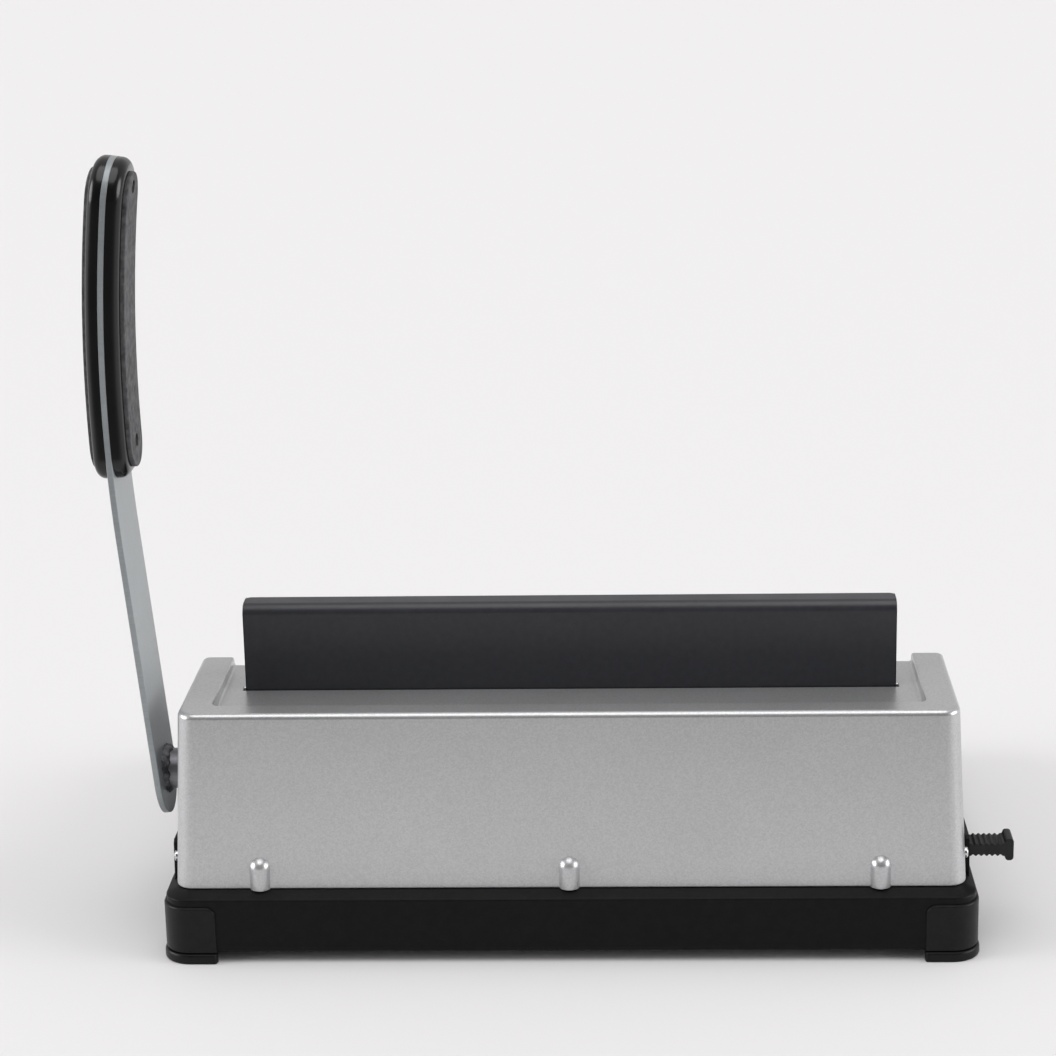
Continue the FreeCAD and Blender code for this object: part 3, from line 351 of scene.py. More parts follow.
class Finish:
    """One material under construction: its node tree, its Principled shader and its Object coordinates."""

    def __init__(self, name, **constants):
        self.material = bpy.data.materials.new(name)
        self.material.use_nodes = True
        self.tree = self.material.node_tree
        self.shader = self.tree.nodes["Principled BSDF"]
        for label, value in constants.items():
            self.shader.inputs[label.replace("_", " ")].default_value = value
        self.place = self.tree.nodes.new("ShaderNodeTexCoord").outputs["Object"]

    def effect(self, name, **inputs):
        """One of the shared effects, fed with this material's coordinates and its own values."""
        node = add_node(self.tree, "ShaderNodeGroup", {"node_tree": EFFECTS[name]}, Vector=self.place)
        for label, value in inputs.items():
            node.inputs[label].default_value = value
        return node

    def spread(self, mask, low, high, start=0.3, end=0.7):
        """A mask's range mapped to a range of numbers."""
        return add_node(self.tree, "ShaderNodeMapRange", Value=mask, From_Min=start, From_Max=end,
                        To_Min=low, To_Max=high).outputs[0]

    def tint(self, mask, dark, light, start=0.3, end=0.7):
        """A mask's range mapped between two colours."""
        return self.blend(self.spread(mask, 0.0, 1.0, start, end), dark, light)

    def blend(self, share, first, second, kind="MIX"):
        """Two colours, each a socket or a plain one, mixed by a mask or a number."""
        mix = add_node(self.tree, "ShaderNodeMix", {"data_type": "RGBA", "blend_type": kind}, in0=share)
        for socket, colour in ((mix.inputs[6], first), (mix.inputs[7], second)):
            if isinstance(colour, bpy.types.NodeSocket):
                self.tree.links.new(colour, socket)
            else:
                socket.default_value = (*colour, 1.0)
        return mix.outputs[2]

    def drive(self, label, socket):
        """Links a changing value to one of the shader's inputs."""
        self.tree.links.new(socket, self.shader.inputs[label])

    def bump(self, height, depth, strength=1.0):
        """Bump over a height, depth in millimetres."""
        bump = add_node(self.tree, "ShaderNodeBump", Height=height, Distance=depth * MM, Strength=strength)
        self.drive("Normal", bump.outputs[0])


def make_cover_paint():
    """Silver metallic paint: fine flake, slow clouds and a faint orange-peel skin."""
    finish = Finish("cover_silver", Metallic=0.7, Coat_Weight=0.1, Coat_Roughness=0.25)
    flake = finish.effect("flake", Scale=1500.0, Clouds=7.0)
    fine = finish.tint(flake.outputs["Flake"], (0.480, 0.485, 0.491), (0.560, 0.565, 0.571), 0.0, 1.0)
    slow = finish.tint(flake.outputs["Cloud"], (0.975, 0.975, 0.975), (1.025, 1.025, 1.025))
    finish.drive("Base Color", finish.blend(1.0, fine, slow, "MULTIPLY"))
    handling = finish.effect("handling", Smudge=14.0)
    finish.drive("Roughness", finish.spread(handling.outputs["Smudges"], 0.29, 0.35))
    grain = finish.effect("grain", Scale=1500.0, Coarse=420.0)
    finish.bump(grain.outputs["Height"], 0.012, 0.35)
    return finish.material


def make_moulded(name, dark, light, roughness, depth, scale=1400.0, specular=0.3, specks=0.0):
    """Moulded plastic or rubber: toned grain, uneven gloss and a few specks of dust."""
    finish = Finish(name, Specular_IOR_Level=specular)
    grain = finish.effect("grain", Scale=scale, Coarse=scale / 6)
    handling = finish.effect("handling", Smudge=30.0, Dust=420.0)
    tone = finish.tint(grain.outputs["Mask"], dark, light)
    share = finish.spread(handling.outputs["Specks"], 0.0, specks, 0.0, 1.0)
    finish.drive("Base Color", finish.blend(share, tone, (0.12, 0.12, 0.12)))
    finish.drive("Roughness", finish.spread(handling.outputs["Smudges"], *roughness))
    finish.bump(grain.outputs["Height"], depth)
    return finish.material


def make_bar_paint():
    """Grey-blue enamel on the lever bar, a little uneven, with the steel's drawing just showing."""
    finish = Finish("bar_grey", Metallic=0.35, Coat_Weight=0.1, Coat_Roughness=0.3)
    handling = finish.effect("handling", Smudge=26.0)
    brushing = finish.effect("brushing", Scale=900.0)
    tone = finish.tint(handling.outputs["Smudges"], (0.27, 0.292, 0.302), (0.33, 0.352, 0.362))
    lines = finish.tint(brushing.outputs["Lines"], (0.93, 0.93, 0.93), (1.05, 1.05, 1.05))
    finish.drive("Base Color", finish.blend(1.0, tone, lines, "MULTIPLY"))
    finish.drive("Roughness", finish.spread(handling.outputs["Smudges"], 0.36, 0.46))
    grain = finish.effect("grain", Scale=1200.0, Coarse=300.0)
    finish.bump(grain.outputs["Height"], 0.05, 0.5)
    return finish.material


def make_metal(name, dark, light, roughness, depth=0.02, metallic=1.0):
    """Plated or bare metal with drawing lines and uneven tone."""
    finish = Finish(name, Metallic=metallic)
    brushing = finish.effect("brushing")
    handling = finish.effect("handling", Smudge=60.0)
    tone = finish.tint(brushing.outputs["Bands"], dark, light)
    lines = finish.tint(brushing.outputs["Lines"], (0.9, 0.9, 0.9), (1.06, 1.06, 1.06))
    finish.drive("Base Color", finish.blend(1.0, tone, lines, "MULTIPLY"))
    finish.drive("Roughness", finish.spread(handling.outputs["Smudges"], *roughness))
    finish.bump(brushing.outputs["Lines"], depth)
    return finish.material


def make_weld_metal():
    """Burnt weld: dark scale with blue-grey patches, rough."""
    finish = Finish("weld_scale", Metallic=0.55)
    grain = finish.effect("grain", Scale=900.0, Coarse=190.0)
    tone = finish.tint(grain.outputs["Mask"], (0.045, 0.046, 0.050), (0.20, 0.20, 0.21), 0.35, 0.65)
    finish.drive("Base Color", tone)
    finish.drive("Roughness", finish.spread(grain.outputs["Mask"], 0.35, 0.65))
    finish.bump(grain.outputs["Height"], 0.5)
    return finish.material


FINISHES = {
    "cover_silver": make_cover_paint(),
    "base_black": make_moulded("base_black", (0.0026, 0.0026, 0.0029), (0.0046, 0.0046, 0.005),
                               (0.36, 0.48), 0.05, specular=0.14, specks=0.03),
    "bumper_rubber": make_moulded("bumper_rubber", (0.0042, 0.0042, 0.0046), (0.0072, 0.0072, 0.0078),
                                  (0.34, 0.46), 0.03, 1900.0, specular=0.2, specks=0.05),
    "backrest_grey": make_moulded("backrest_grey", (0.021, 0.0215, 0.0265), (0.027, 0.0278, 0.034),
                                  (0.34, 0.44), 0.03, 1700.0, specular=0.5),
    "bar_grey": make_bar_paint(),
    "shaft_steel": make_metal("shaft_steel", (0.20, 0.20, 0.215), (0.34, 0.34, 0.355), (0.35, 0.55), 0.04),
    "weld_scale": make_weld_metal(),
    "grip_black": make_moulded("grip_black", (0.0022, 0.0023, 0.0028), (0.0034, 0.0036, 0.0044),
                               (0.16, 0.24), 0.01, 500.0, specular=0.42),
    "pad_grey": make_moulded("pad_grey", (0.035, 0.035, 0.037), (0.13, 0.13, 0.135), (0.6, 0.8), 0.5,
                             1500.0, specular=0.3),
    "steel": make_metal("zinc_steel", (0.42, 0.43, 0.45), (0.56, 0.57, 0.58), (0.28, 0.42)),
    "fasteners": make_metal("bright_zinc", (0.55, 0.57, 0.58), (0.72, 0.73, 0.72), (0.2, 0.34)),
    "bronze": make_metal("bronze", (0.42, 0.27, 0.12), (0.58, 0.40, 0.20), (0.35, 0.5), 0.05),
    "tab_black": make_moulded("tab_black", (0.003, 0.003, 0.0034), (0.010, 0.010, 0.0105), (0.4, 0.52),
                              0.05, 900.0, specular=0.35, specks=0.12),
    "table_black": make_moulded("table_black", (0.020, 0.020, 0.022), (0.030, 0.030, 0.033), (0.42, 0.56),
                                0.06, 1100.0, specular=0.35, specks=0.03),
    "slide_plastic": make_moulded("slide_plastic", (0.006, 0.006, 0.0065), (0.011, 0.011, 0.012),
                                  (0.34, 0.48), 0.03, specular=0.35, specks=0.04),
}


# ---- cover ---------------------------------------------------------------------------------
def cover_plan(z, inset=0.0):
    """Outline of the drafted cover at a height: every side moves in a straight line as it rises."""
    share = (z - DECK_TOP) / (COVER_TOP - DECK_TOP)
    half = COVER_BOTTOM_X + (COVER_TOP_X - COVER_BOTTOM_X) * share - inset
    front = COVER_FRONT[0] + (COVER_FRONT[1] - COVER_FRONT[0]) * share + inset
    rear = COVER_REAR[0] + (COVER_REAR[1] - COVER_REAR[0]) * share - inset
    return rounded_outline((-half, half), (front, rear), COVER_CORNERS - inset, steps=10)


def tab_window_y():
    """Reach in y of the window that the margin slide passes through, in the cover and in the base."""
    return SLIDE_Y[0] - WINDOW_ROOM, SLIDE_Y[1] + WINDOW_ROOM


def make_cover():
    """Drafted shell with a rounded top edge and hem, open recess on top, and three domed screw bosses."""
    hem = [(DECK_TOP + drop, inset) for inset, drop in quarter(COVER_HEM, 4)][::-1]
    top = [(COVER_TOP - drop, inset) for inset, drop in quarter(COVER_EDGE, 7)]
    levels = hem + top
    outer = stack([cover_plan(z, inset) for z, inset in levels], [z for z, _ in levels])
    cover = solid("cover_shell", outer)
    ceiling = RECESS_FLOOR - COVER_WALL
    cavity = stack([cover_plan(DECK_TOP - 1, COVER_WALL), cover_plan(ceiling, COVER_WALL)],
                   [DECK_TOP - 1, ceiling])
    slot_half, slot_rear = PLATE_HALF_X + PLATE_ROOM, PLATE_BOX[1][1] + PLATE_ROOM
    floor_cut = (RECESS_FLOOR - 4, RECESS_FLOOR + 1)
    combine(cover, "DIFFERENCE", [
        cavity,
        block((-RECESS_HALF_X, RECESS_HALF_X), (0, RECESS_REAR), (RECESS_FLOOR, COVER_TOP + 1),
              RECESS_CORNER, 6),
        block((-WINDOW_HALF_X, WINDOW_HALF_X), WINDOW_Y, floor_cut),
        block((-slot_half, slot_half), (WINDOW_Y[1] - 2, slot_rear), floor_cut),
        block((-THROAT_HALF_X, THROAT_HALF_X), (0, THROAT_DEEP), (DECK_TOP - 1, THROAT_TOP)),
        turned([(0, SHAFT_R + SHAFT_ROOM), (40, SHAFT_R + SHAFT_ROOM)], (170, SHAFT_Y, SHAFT_Z), (1, 0, 0),
               48),
        block((-200, -180), tab_window_y(), (DECK_TOP - 1, TAB_WINDOW_Z[1])),
    ])
    settle(ease(cover, COVER_BEVEL, 4, 40.0))
    dome = [(BOSS_TOP - BOSS_R + BOSS_R * math.sin(a), BOSS_R * math.cos(a))
            for a in np.linspace(0, 1.5, 9)]
    profile = [(0.0, BOSS_R)] + [(z - DECK_TOP - 0.2, r) for z, r in dome]
    combine(cover, "UNION", [turned(profile, (x, BOSS_Y, DECK_TOP + 0.2), (0, 0, 1), 40)
                             for x in (-BOSS_PITCH, 0, BOSS_PITCH)])
    smooth(cover)
    return set_piece(cover, "housing", "cover_silver", FINISHES["cover_silver"], "rear_cover")


# ---- base and feet -------------------------------------------------------------------------
def make_base():
    """Tub with a rolled shoulder, side cheeks beside the cover, drawer mouth in front, tab window."""
    half_x, half_y = BASE_HALF
    roll = [(BASE_SIDE_TOP - 0.7, 0.0), (BASE_SIDE_TOP - 0.25, 0.12), (BASE_SIDE_TOP, 0.5),
            (BASE_SIDE_TOP + 0.5, 2.0), (BASE_SIDE_TOP + 1.5, 5.2), (DECK_TOP - 0.15, SHOULDER - 0.5),
            (DECK_TOP, SHOULDER)]
    levels = [(BASE_LOW, 1.0), (BASE_LOW + 0.3, 0.3), (BASE_LOW + 1.0, 0.0)] + roll
    plans = [rounded_outline((-half_x + i, half_x - i), (-half_y + i, half_y - i),
                             max(BASE_CORNER - i * 0.4, 3), 10) for _, i in levels]
    base = solid("base_tub", stack(plans, [z for z, _ in levels]))
    cheek = [(CHEEK_REAR, BASE_SIDE_TOP - 1), (CHEEK_REAR, DECK_TOP + 2),
             (CHEEK_REAR - 1.4, CHEEK_TOP - 1.5), (CHEEK_REAR - 3.0, CHEEK_TOP), (-30.0, CHEEK_TOP),
             (-104.0, DECK_TOP + 8), (-116.0, DECK_TOP + 3), (-119.0, BASE_SIDE_TOP - 1)]
    combine(base, "UNION", [prism_x(cheek, [side * x for x in CHEEK_X]) for side in (-1, 1)])
    inner_x, inner_y = half_x - BASE_WALL, half_y - BASE_WALL
    combine(base, "DIFFERENCE", [
        block((-inner_x, inner_x), (-inner_y, inner_y), (BASE_LOW - 1, DECK_TOP - DECK_THICK),
              BASE_INNER_CORNER),
        block((-DECK_HOLE_HALF_X, DECK_HOLE_HALF_X), DECK_HOLE_Y, (DECK_TOP - 4, DECK_TOP + 1)),
        block((-MOUTH_HALF_X, MOUTH_HALF_X), (-half_y - 5, -half_y + 8), MOUTH_Z),
        block((-CHEEK_X[1] - 1, -CHEEK_X[0] + 1), tab_window_y(), TAB_WINDOW_Z),
    ])
    ease(base, 0.5, 3, 40.0)
    smooth(base)
    return set_piece(base, "housing", "base_black", FINISHES["base_black"], "base_shell")


def corner_path(side_x, side_y, steps=14):
    """Points and outward directions round one corner of the base: a leg, a quarter circle, a leg."""
    leg = FOOT_LONG - BASE_CORNER
    centre = BASE_HALF - BASE_CORNER
    straight = np.concatenate([[0, 0.2, 0.5, 1.0, 1.8, 2.8, 4.0, 5.5], np.linspace(7.0, leg, 4)])
    arc = np.linspace(0, np.pi / 2, steps + 1)[1:-1]
    points = [(centre[0] + BASE_CORNER, centre[1] - leg + s) for s in straight]
    points += [(centre[0] + BASE_CORNER * math.cos(a), centre[1] + BASE_CORNER * math.sin(a)) for a in arc]
    points += [(centre[0] - s, centre[1] + BASE_CORNER) for s in (leg - straight[::-1])]
    outward = [(1.0, 0.0)] * len(straight) + [(math.cos(a), math.sin(a)) for a in arc]
    outward += [(0.0, 1.0)] * len(straight)
    reach = np.concatenate([straight, np.full(len(arc), 99.0), straight[::-1]])
    flip = np.array([side_x, side_y])
    return np.array(points) * flip, np.array(outward) * flip, reach


def foot_profile(reach):
    """Foot section as (outward, z): flared pad, groove, upright band; its top rounds off at the ends."""
    round_r, edge = 5.0, 0.9
    near = min(reach, round_r)
    top = FOOT_TOP - round_r + math.sqrt(round_r ** 2 - (round_r - near) ** 2)
    swell = math.sqrt(max(1 - (1 - min(reach / edge, 1.0)) ** 2, 0))
    proud = FOOT_INSET + (FOOT_PROUD - FOOT_INSET) * max(swell, 0.25)
    pad = FOOT_INSET + (FOOT_FLARE - FOOT_INSET) * max(swell, 0.35)
    lip = FOOT_LIP
    return [(FOOT_INSET, 0.0), (pad - 1.0, 0.0), (pad - 0.35, 0.15), (pad, 0.8), (pad - 0.1, lip - 2.0),
            (pad - 0.4, lip - 1.0), (pad - 0.9, lip - 0.6), (FOOT_INSET + 0.6, lip - 0.45),
            (FOOT_INSET + 0.6, lip - 0.1), (proud - 0.3, lip), (proud, lip + 0.4),
            (proud, lip + 0.5 * (top - lip)), (proud, top - 1.0), (proud - 0.25, top - 0.35),
            (proud - 0.8, top), (FOOT_INSET, top)]


def make_feet():
    """Rubber corner bumpers: the section carried round each corner, closed flat at both ends."""
    for end, side_y in (("rear", 1), ("front", -1)):
        for hand, side_x in (("right", 1), ("left", -1)):
            points, outward, reach = corner_path(side_x, side_y)
            rings = []
            for point, out, far in zip(points, outward, reach):
                section = np.array(foot_profile(far))
                rings.append(np.column_stack([point + section[:, :1] * out, section[:, 1]]))
            name = "foot_%s_%s" % (end, hand)
            foot = solid("bumper_%s_%s" % (end, hand), np.array(rings))
            smooth(foot)
            set_piece(foot, "housing", "bumper_rubber", FINISHES["bumper_rubber"], name)


# ---- backrest ------------------------------------------------------------------------------
def backrest_section(flange_front):
    """Folded sheet in (y, z): up the rear face, round the bend, forward along the flange and back."""
    low, high = PLATE_BOX[0][2], PLATE_BOX[1][2]
    rear = PLATE_BOX[1][1]
    turn = np.linspace(0, np.pi / 2, 9)
    centre = (rear - PLATE_BEND, high - PLATE_BEND)
    inner_r = PLATE_BEND - PLATE_THICK
    outer = [(centre[0] + PLATE_BEND * math.cos(a), centre[1] + PLATE_BEND * math.sin(a)) for a in turn]
    inner = [(centre[0] + inner_r * math.cos(a), centre[1] + inner_r * math.sin(a)) for a in turn[::-1]]
    return [(rear, low)] + outer + [(flange_front, high), (flange_front, high - PLATE_THICK)] + inner \
        + [(rear - PLATE_THICK, low)]


def make_backrest():
    """The section carried along x; the flange draws back along a quarter circle at each end."""
    corner = 3.0
    drawn = corner * (1 - np.sin(np.linspace(0, np.pi / 2, 8)))
    along = corner * (1 - np.cos(np.linspace(0, np.pi / 2, 8)))
    front = PLATE_BOX[0][1]
    ends = list(zip(-PLATE_HALF_X + along, front + drawn))
    stations = ends + [(-x, y) for x, y in ends[::-1]]
    rings = [np.column_stack([np.full(len(backrest_section(y)), x), backrest_section(y)])
             for x, y in stations]
    plate = solid("backrest_plate", np.array(rings))
    ease(plate, 0.45, 2, 60.0)
    smooth(plate)
    return set_piece(plate, "housing", "backrest_grey", FINISHES["backrest_grey"], "comb_backrest")


# ---- lever ---------------------------------------------------------------------------------
def beside_bar(z, offset):
    """Points (x, z) beside the bar's middle line: straight and leaning out below BEND_START, then
    along a large arc that brings it back upright; offset is square to the line, outwards."""
    z, offset = np.broadcast_arrays(np.asarray(z, float), np.asarray(offset, float))
    lean = np.where(z < BEND_START, -BAR_LEAN, np.arcsin((z - BEND_CENTRE_Z) / BEND_R))
    straight = LEVER_X + (z - SHAFT_Z) * math.tan(BAR_LEAN)
    middle = np.where(z < BEND_START, straight, BEND_CENTRE_X + BEND_R * np.cos(lean))
    return middle + offset * np.cos(lean), z + offset * np.sin(lean)


def bar_half_width(z):
    """Half width of the bar: a half circle at the foot, round corners at the head."""
    foot = np.clip(BAR_LOW + BAR_HALF_Y - z, 0, BAR_HALF_Y)
    head = np.clip(z - BAR_TOP + END_R, 0, END_R)
    return np.sqrt(BAR_HALF_Y ** 2 - foot ** 2) - END_R + np.sqrt(END_R ** 2 - head ** 2)


def make_bar():
    """Flat bar as rings across its height: each ring is the bar's thin rectangle with eased corners."""
    turn = np.linspace(0.08, np.pi / 2, 18)
    heights = np.concatenate([BAR_LOW + BAR_HALF_Y * (1 - np.cos(turn)),
                              np.arange(82, BAR_TOP - END_R, 5.0),
                              BAR_TOP - END_R + END_R * np.sin(np.linspace(0, 1.5, 16))])
    rings = []
    for z in heights:
        width = float(bar_half_width(z))
        flat = rounded_outline((-BAR_HALF_THICK, BAR_HALF_THICK), (-width, width), 0.45, 3)
        x, height = beside_bar(np.full(len(flat), z), flat[:, 0])
        rings.append(np.column_stack([x, SHAFT_Y + flat[:, 1], height]))
    bar = solid("bar", np.array(rings))
    smooth(bar)
    return set_piece(bar, "lever", "bar_grey", FINISHES["bar_grey"], "lever_bar")


def rim_distance(y, z, half_y, low, high, corners):
    """Distance from a point on the grip's face to its rounded outline, measured inwards."""
    corner = corners[0] if z < (low + high) / 2 else corners[1]
    from_y = np.abs(y) - (half_y - corner)
    from_z = np.abs(z - (low + high) / 2) - ((high - low) / 2 - corner)
    outside = np.hypot(np.maximum(from_y, 0), np.maximum(from_z, 0))
    return corner - outside - np.minimum(np.maximum(from_y, from_z), 0)


def layer_rings(side, start, thick, half_y, low, high, corners, roundness, columns=18):
    """Layer on the bar as a crowned face over its outline: the outer face falls along a quarter
    circle of the given roundness towards the rim; its back lies flat at the start offset. The
    outline has one corner radius at the foot and one at the head."""
    turn = np.linspace(0, np.pi / 2, 16)
    lower = low + corners[0] * (1 - np.cos(turn))
    upper = high - corners[1] * (1 - np.cos(turn))[::-1]
    heights = np.concatenate([lower, np.arange(lower[-1] + 4, upper[0] - 2, 4.5), upper])
    rings = []
    for z in heights:
        rise = max(corners[0] - (z - low), 0.0), max(corners[1] - (high - z), 0.0)
        width = half_y - sum(c - math.sqrt(max(c ** 2 - r ** 2, 0)) for c, r in zip(corners, rise))
        y = width * np.sin(np.linspace(-np.pi / 2, np.pi / 2, columns))
        depth = rim_distance(y, z, half_y, low, high, corners)
        fall = np.clip(roundness - depth, 0, roundness)
        face = start + thick - roundness + np.sqrt(roundness ** 2 - fall ** 2)
        offset = np.concatenate([face, np.full(columns, start)]) * side
        x, height = beside_bar(np.full(2 * columns, z), offset)
        rings.append(np.column_stack([x, SHAFT_Y + np.concatenate([y, y[::-1]]), height]))
    return np.array(rings)


def hole_rings(z, side):
    """Grip hole, square to the bar, from just outside the bar to clear of the pad."""
    ends = [beside_bar(z, side * offset) for offset in (BAR_HALF_THICK + 0.6, 20.0)]
    start, end = [np.array([float(x), SHAFT_Y, float(height)]) for x, height in ends]
    return turned([(0, GRIP_HOLE_R), (np.linalg.norm(end - start), GRIP_HOLE_R)], start, end - start, 28)


def make_grip():
    """Two moulded scales on the bar, each with a textured pad let on to it and two through holes."""
    for side, name in ((-1, "inner"), (1, "outer")):
        holes = [hole_rings(z, side) for z in GRIP_HOLE_Z]
        scale = solid("scale_" + name, layer_rings(
            side, BAR_HALF_THICK, SCALE_THICK, BAR_HALF_Y, SCALE_LOW, SCALE_TOP,
            (SCALE_CORNER, END_R), SCALE_ROUND, 26))
        combine(scale, "DIFFERENCE", holes)
        smooth(scale)
        set_piece(scale, "lever", "grip_black", FINISHES["grip_black"], "grip_scale_" + name)
        pad = solid("pad_" + name, layer_rings(
            side, BAR_HALF_THICK + SCALE_THICK - 0.2, PAD_THICK + 0.2, PAD_HALF_Y, PAD_LOW, PAD_TOP,
            (PAD_HALF_Y - 0.2,) * 2, PAD_ROUND))
        combine(pad, "DIFFERENCE", holes)
        smooth(pad)
        set_piece(pad, "lever", "pad_grey", FINISHES["pad_grey"], "grip_pad_" + name)


def make_shaft():
    """Turned cross shaft with chamfered ends."""
    length = SHAFT_BOX[1][0] - SHAFT_BOX[0][0]
    profile = [(0, SHAFT_R - 1.2), (0.25, SHAFT_R - 0.9), (1.1, SHAFT_R - 0.06), (1.6, SHAFT_R)]
    profile += [(length - a, r) for a, r in profile[::-1]]
    shaft = solid("cross_shaft", turned(profile, (SHAFT_BOX[0][0], SHAFT_Y, SHAFT_Z), (1, 0, 0), 64))
    smooth(shaft)
    return set_piece(shaft, "lever", "shaft_steel", FINISHES["shaft_steel"], "lever_shaft")


def make_weld():
    """Fillet weld round the shaft: a quarter-round section whose size swells and dips as the bead was
    laid, by sums of sines of the angle."""
    angle = np.linspace(0, 2 * np.pi, 144, endpoint=False)
    swell = (1 + 0.14 * np.sin(9 * angle + 0.7) + 0.10 * np.sin(15 * angle + 2.1)
             + 0.18 * np.sin(3 * angle))
    reach = 1 + 0.10 * np.sin(8 * angle + 1.9) + 0.08 * np.sin(13 * angle + 0.4)
    rings = []
    for share in np.linspace(0, 1, 14):
        ripple = 1 + 0.05 * np.sin(19 * angle + 9 * share)
        x = LEVER_X - WELD_SINK - WELD_LONG * share * reach
        radius = SHAFT_R - WELD_SINK + WELD_HIGH * np.sqrt(max(1 - share ** 2, 0.0)) * swell * ripple
        y, z = SHAFT_Y + radius * np.cos(angle), SHAFT_Z + radius * np.sin(angle)
        rings.append(np.column_stack([x, y, z]))
    weld = solid("weld", np.array(rings))
    smooth(weld)
    return set_piece(weld, "lever", "shaft_steel", FINISHES["weld_scale"], "weld_bead")


# ---- margin tab ----------------------------------------------------------------------------
def tab_height(x):
    """Height of the tab above its own middle, for a distance x from its root: a plain neck, six round
    ribs as a raised cosine, and a taller head that rises and ends along quarter circles."""
    rib = TAB_RIB * (0.5 - 0.5 * np.cos(2 * np.pi * (x - TAB_RIBS[0]) / TAB_RIB_PITCH))
    ribbed = (x > TAB_RIBS[0]) & (x < TAB_RIBS[1])
    neck = TAB_HALF - np.where(ribbed, rib, 0.0)
    rise = np.clip((x - TAB_HEAD_START) / TAB_HEAD_ROUND, 0, 1)
    fall = np.clip((TAB_LONG - x) / TAB_HEAD_ROUND, 0, 1)
    head = (TAB_HEAD_HALF - TAB_HEAD_ROUND + TAB_HEAD_ROUND * np.sqrt(1 - (1 - fall) ** 2))
    return np.where(x < TAB_HEAD_START, neck, TAB_HALF + (head - TAB_HALF) * np.sqrt(1 - (1 - rise) ** 2))


def make_tab():
    """Pull tab: its outline from root to head and back, carried across the slide's width."""
    along = np.concatenate([np.linspace(0, TAB_HEAD_START, 90),
                            np.linspace(TAB_HEAD_START, TAB_LONG, 26)[1:]])
    half = tab_height(along)
    x = TAB_ROOT - along
    over = np.column_stack([x, TAB_MIDDLE + half])
    under = np.column_stack([x, TAB_MIDDLE - half])[::-1]
    width = (SLIDE_Y[0] - 0.2, SLIDE_Y[1] + 0.2)
    tab = solid("pull_tab", prism_y(np.concatenate([over, under]), width))
    ease(tab, 0.35, 2, 50.0)
    smooth(tab)
    return set_piece(tab, "margin_slide", "slide_plastic", FINISHES["tab_black"], "margin_tab")


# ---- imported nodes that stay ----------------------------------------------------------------
def dress(width, finish, *names):
    """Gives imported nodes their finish, and rounds their edges by width millimetres."""
    for name in names:
        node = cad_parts[name]
        node.data.materials.clear()
        node.data.materials.append(FINISHES[finish])
        node.data.shade_smooth()
        weld = node.modifiers.new("join_corners", "WELD")
        weld.merge_threshold = 0.004 * MM
        ease(node, width, 2, 35.0)
        even_normals(node)


def dress_all():
    dress(0.35, "table_black", "paper_table", "side_guide")
    dress(0.5, "slide_plastic", "chip_drawer", "back_stop", "margin_guides", "carriage_rails")
    dress(0.25, "tab_black", "margin_slide_bar")
    dress(0.3, "base_black", "bottom_plate", "drawer_rails")
    dress(0.25, "steel", "side_frame_right", "side_frame_left", "bridge", "backrest_spacer", "die_plate",
          "punch_guide_plate", "throat_spacers", "paper_guide_plate", "punch_beam", "hook_carriage",
          "opener_bed_plate")
    dress(0.12, "steel", "comb_fingers", "hook_comb", "punch_pins", "rack_right", "rack_left",
          "pinion_right", "pinion_left", "cam_right", "cam_left", "guide_posts", "stop_pins", "tab_pin")
    dress(0.02, "steel", "return_springs")
    dress(0.1, "fasteners", "side_screws", "frame_screws", "base_screws", "retaining_rings",
          "backrest_rivets", "hook_rivets")
    dress(0.1, "base_black", "grip_screws")
    dress(0.2, "bronze", "bush_right", "bush_left")


# ---- stage ---------------------------------------------------------------------------------
def make_floor():
    """Wide plain floor with a painted dark reflection: to glossy rays only, it darkens from 0.4 m to 1 m
    towards the viewer's side, so what shines reflects it dim there.
    """
    corners = [(x * FLOOR_HALF, y * FLOOR_HALF, 0) for x, y in ((-1, -1), (1, -1), (1, 1), (-1, 1))]
    mesh = bpy.data.meshes.new("floor")
    mesh.from_pydata(corners, [], [(0, 1, 2, 3)])
    floor = bpy.data.objects.new("floor", mesh)
    bpy.context.scene.collection.objects.link(floor)
    material = bpy.data.materials.new("floor")
    material.use_nodes = True
    tree = material.node_tree
    place = add_node(tree, "ShaderNodeTexCoord").outputs["Object"]
    parts = add_node(tree, "ShaderNodeSeparateXYZ", Vector=place)
    # Painted dark reflection: towards the viewer's side the floor turns near black for glossy rays only.
    reflection_fade = add_node(tree, "ShaderNodeMapRange", Value=parts.outputs["Y"], From_Min=DARK_REFLECTION_FADE[0],
                      From_Max=DARK_REFLECTION_FADE[1], To_Min=0.0, To_Max=DARK_REFLECTION_SHARE)
    glossy = add_node(tree, "ShaderNodeLightPath").outputs["Is Glossy Ray"]
    share = add_node(tree, "ShaderNodeMath", {"operation": "MULTIPLY"}, in0=reflection_fade.outputs[0], in1=glossy)
    colour = add_node(tree, "ShaderNodeMix", {"data_type": "RGBA"}, in0=share.outputs[0], in6=FLOOR_COLOUR,
                      in7=DARK_REFLECTION_COLOUR)
    shader = tree.nodes["Principled BSDF"]
    tree.links.new(colour.outputs[2], shader.inputs["Base Color"])
    shader.inputs["Roughness"].default_value = 0.8
    shader.inputs["Specular IOR Level"].default_value = 0.1
    mesh.materials.append(material)


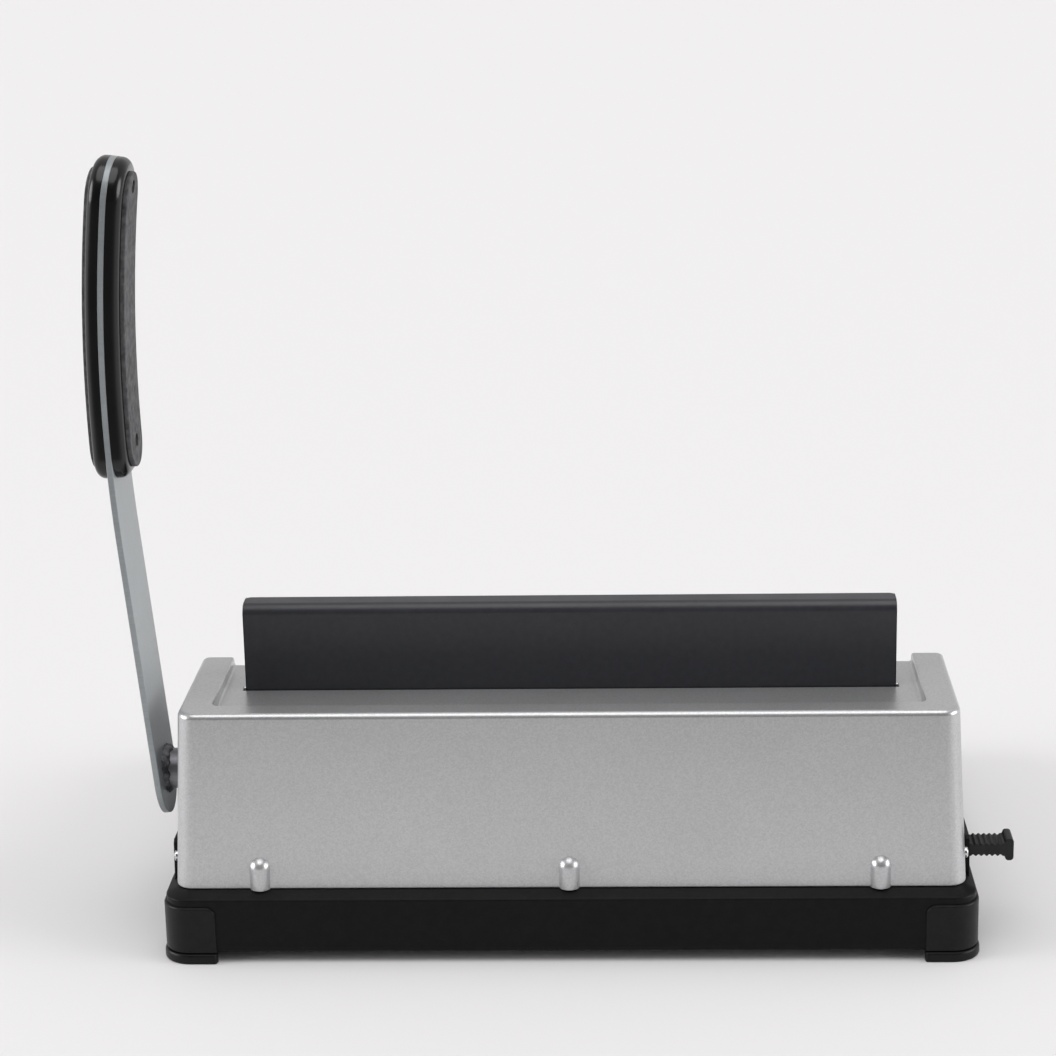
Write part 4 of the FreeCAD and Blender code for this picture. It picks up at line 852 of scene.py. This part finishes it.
def make_light(name, direction, spread, power):
    """Broad soft light from a direction, as even over the floor as over the machine."""
    data = bpy.data.lights.new(name, "SUN")
    data.angle = math.radians(spread)
    data.energy = power
    light = bpy.data.objects.new(name, data)
    light.rotation_euler = (-Vector(direction)).to_track_quat("-Z", "Y").to_euler()
    bpy.context.scene.collection.objects.link(light)


def make_world():
    """Pale room: bright behind the machine, dim on the viewer's side, with an even backdrop."""
    world = bpy.data.worlds.new("room")
    bpy.context.scene.world = world
    world.use_nodes = True
    tree = world.node_tree
    background = tree.nodes["Background"]
    direction = add_node(tree, "ShaderNodeTexCoord").outputs["Generated"]
    parts = add_node(tree, "ShaderNodeSeparateXYZ", Vector=direction)
    room = add_node(tree, "ShaderNodeMapRange", Value=parts.outputs["Y"], From_Min=-0.2, From_Max=0.85,
                    To_Min=ROOM_FAR, To_Max=ROOM_NEAR)
    seen = add_node(tree, "ShaderNodeLightPath").outputs["Is Camera Ray"]
    share = add_node(tree, "ShaderNodeMix", {"data_type": "FLOAT"}, in0=seen, in2=room.outputs[0],
                     in3=BACKDROP)
    tree.links.new(share.outputs[0], background.inputs["Strength"])
    background.inputs["Color"].default_value = ROOM_COLOUR


def make_camera():
    """The viewer's place: behind the machine, a little above it and rolled a touch, long lens."""
    data = bpy.data.cameras.new("camera")
    data.sensor_width, data.lens = SENSOR, LENS
    data.shift_x, data.shift_y = SHIFT
    camera = bpy.data.objects.new("camera", data)
    camera.location = Vector(MIDDLE * MM) + Vector(CAMERA_PLACE)
    turn = Matrix.Rotation(math.radians(CAMERA_TURN), 3, "Z")
    tilt = Matrix.Rotation(math.radians(CAMERA_TILT), 3, "X")
    roll = Matrix.Rotation(math.radians(CAMERA_ROLL), 3, "Z")
    camera.rotation_euler = (turn @ tilt @ roll).to_euler()
    bpy.context.scene.collection.objects.link(camera)
    bpy.context.scene.camera = camera


make_camera()
make_floor()
make_world()
for light_name, (towards, light_spread, light_power) in LIGHTS.items():
    make_light(light_name, towards, light_spread, light_power)
bpy.context.scene.view_settings.view_transform = "Standard"

make_cover()
make_base()
make_feet()
make_backrest()
make_bar()
make_grip()
make_shaft()
make_weld()
make_tab()
dress_all()
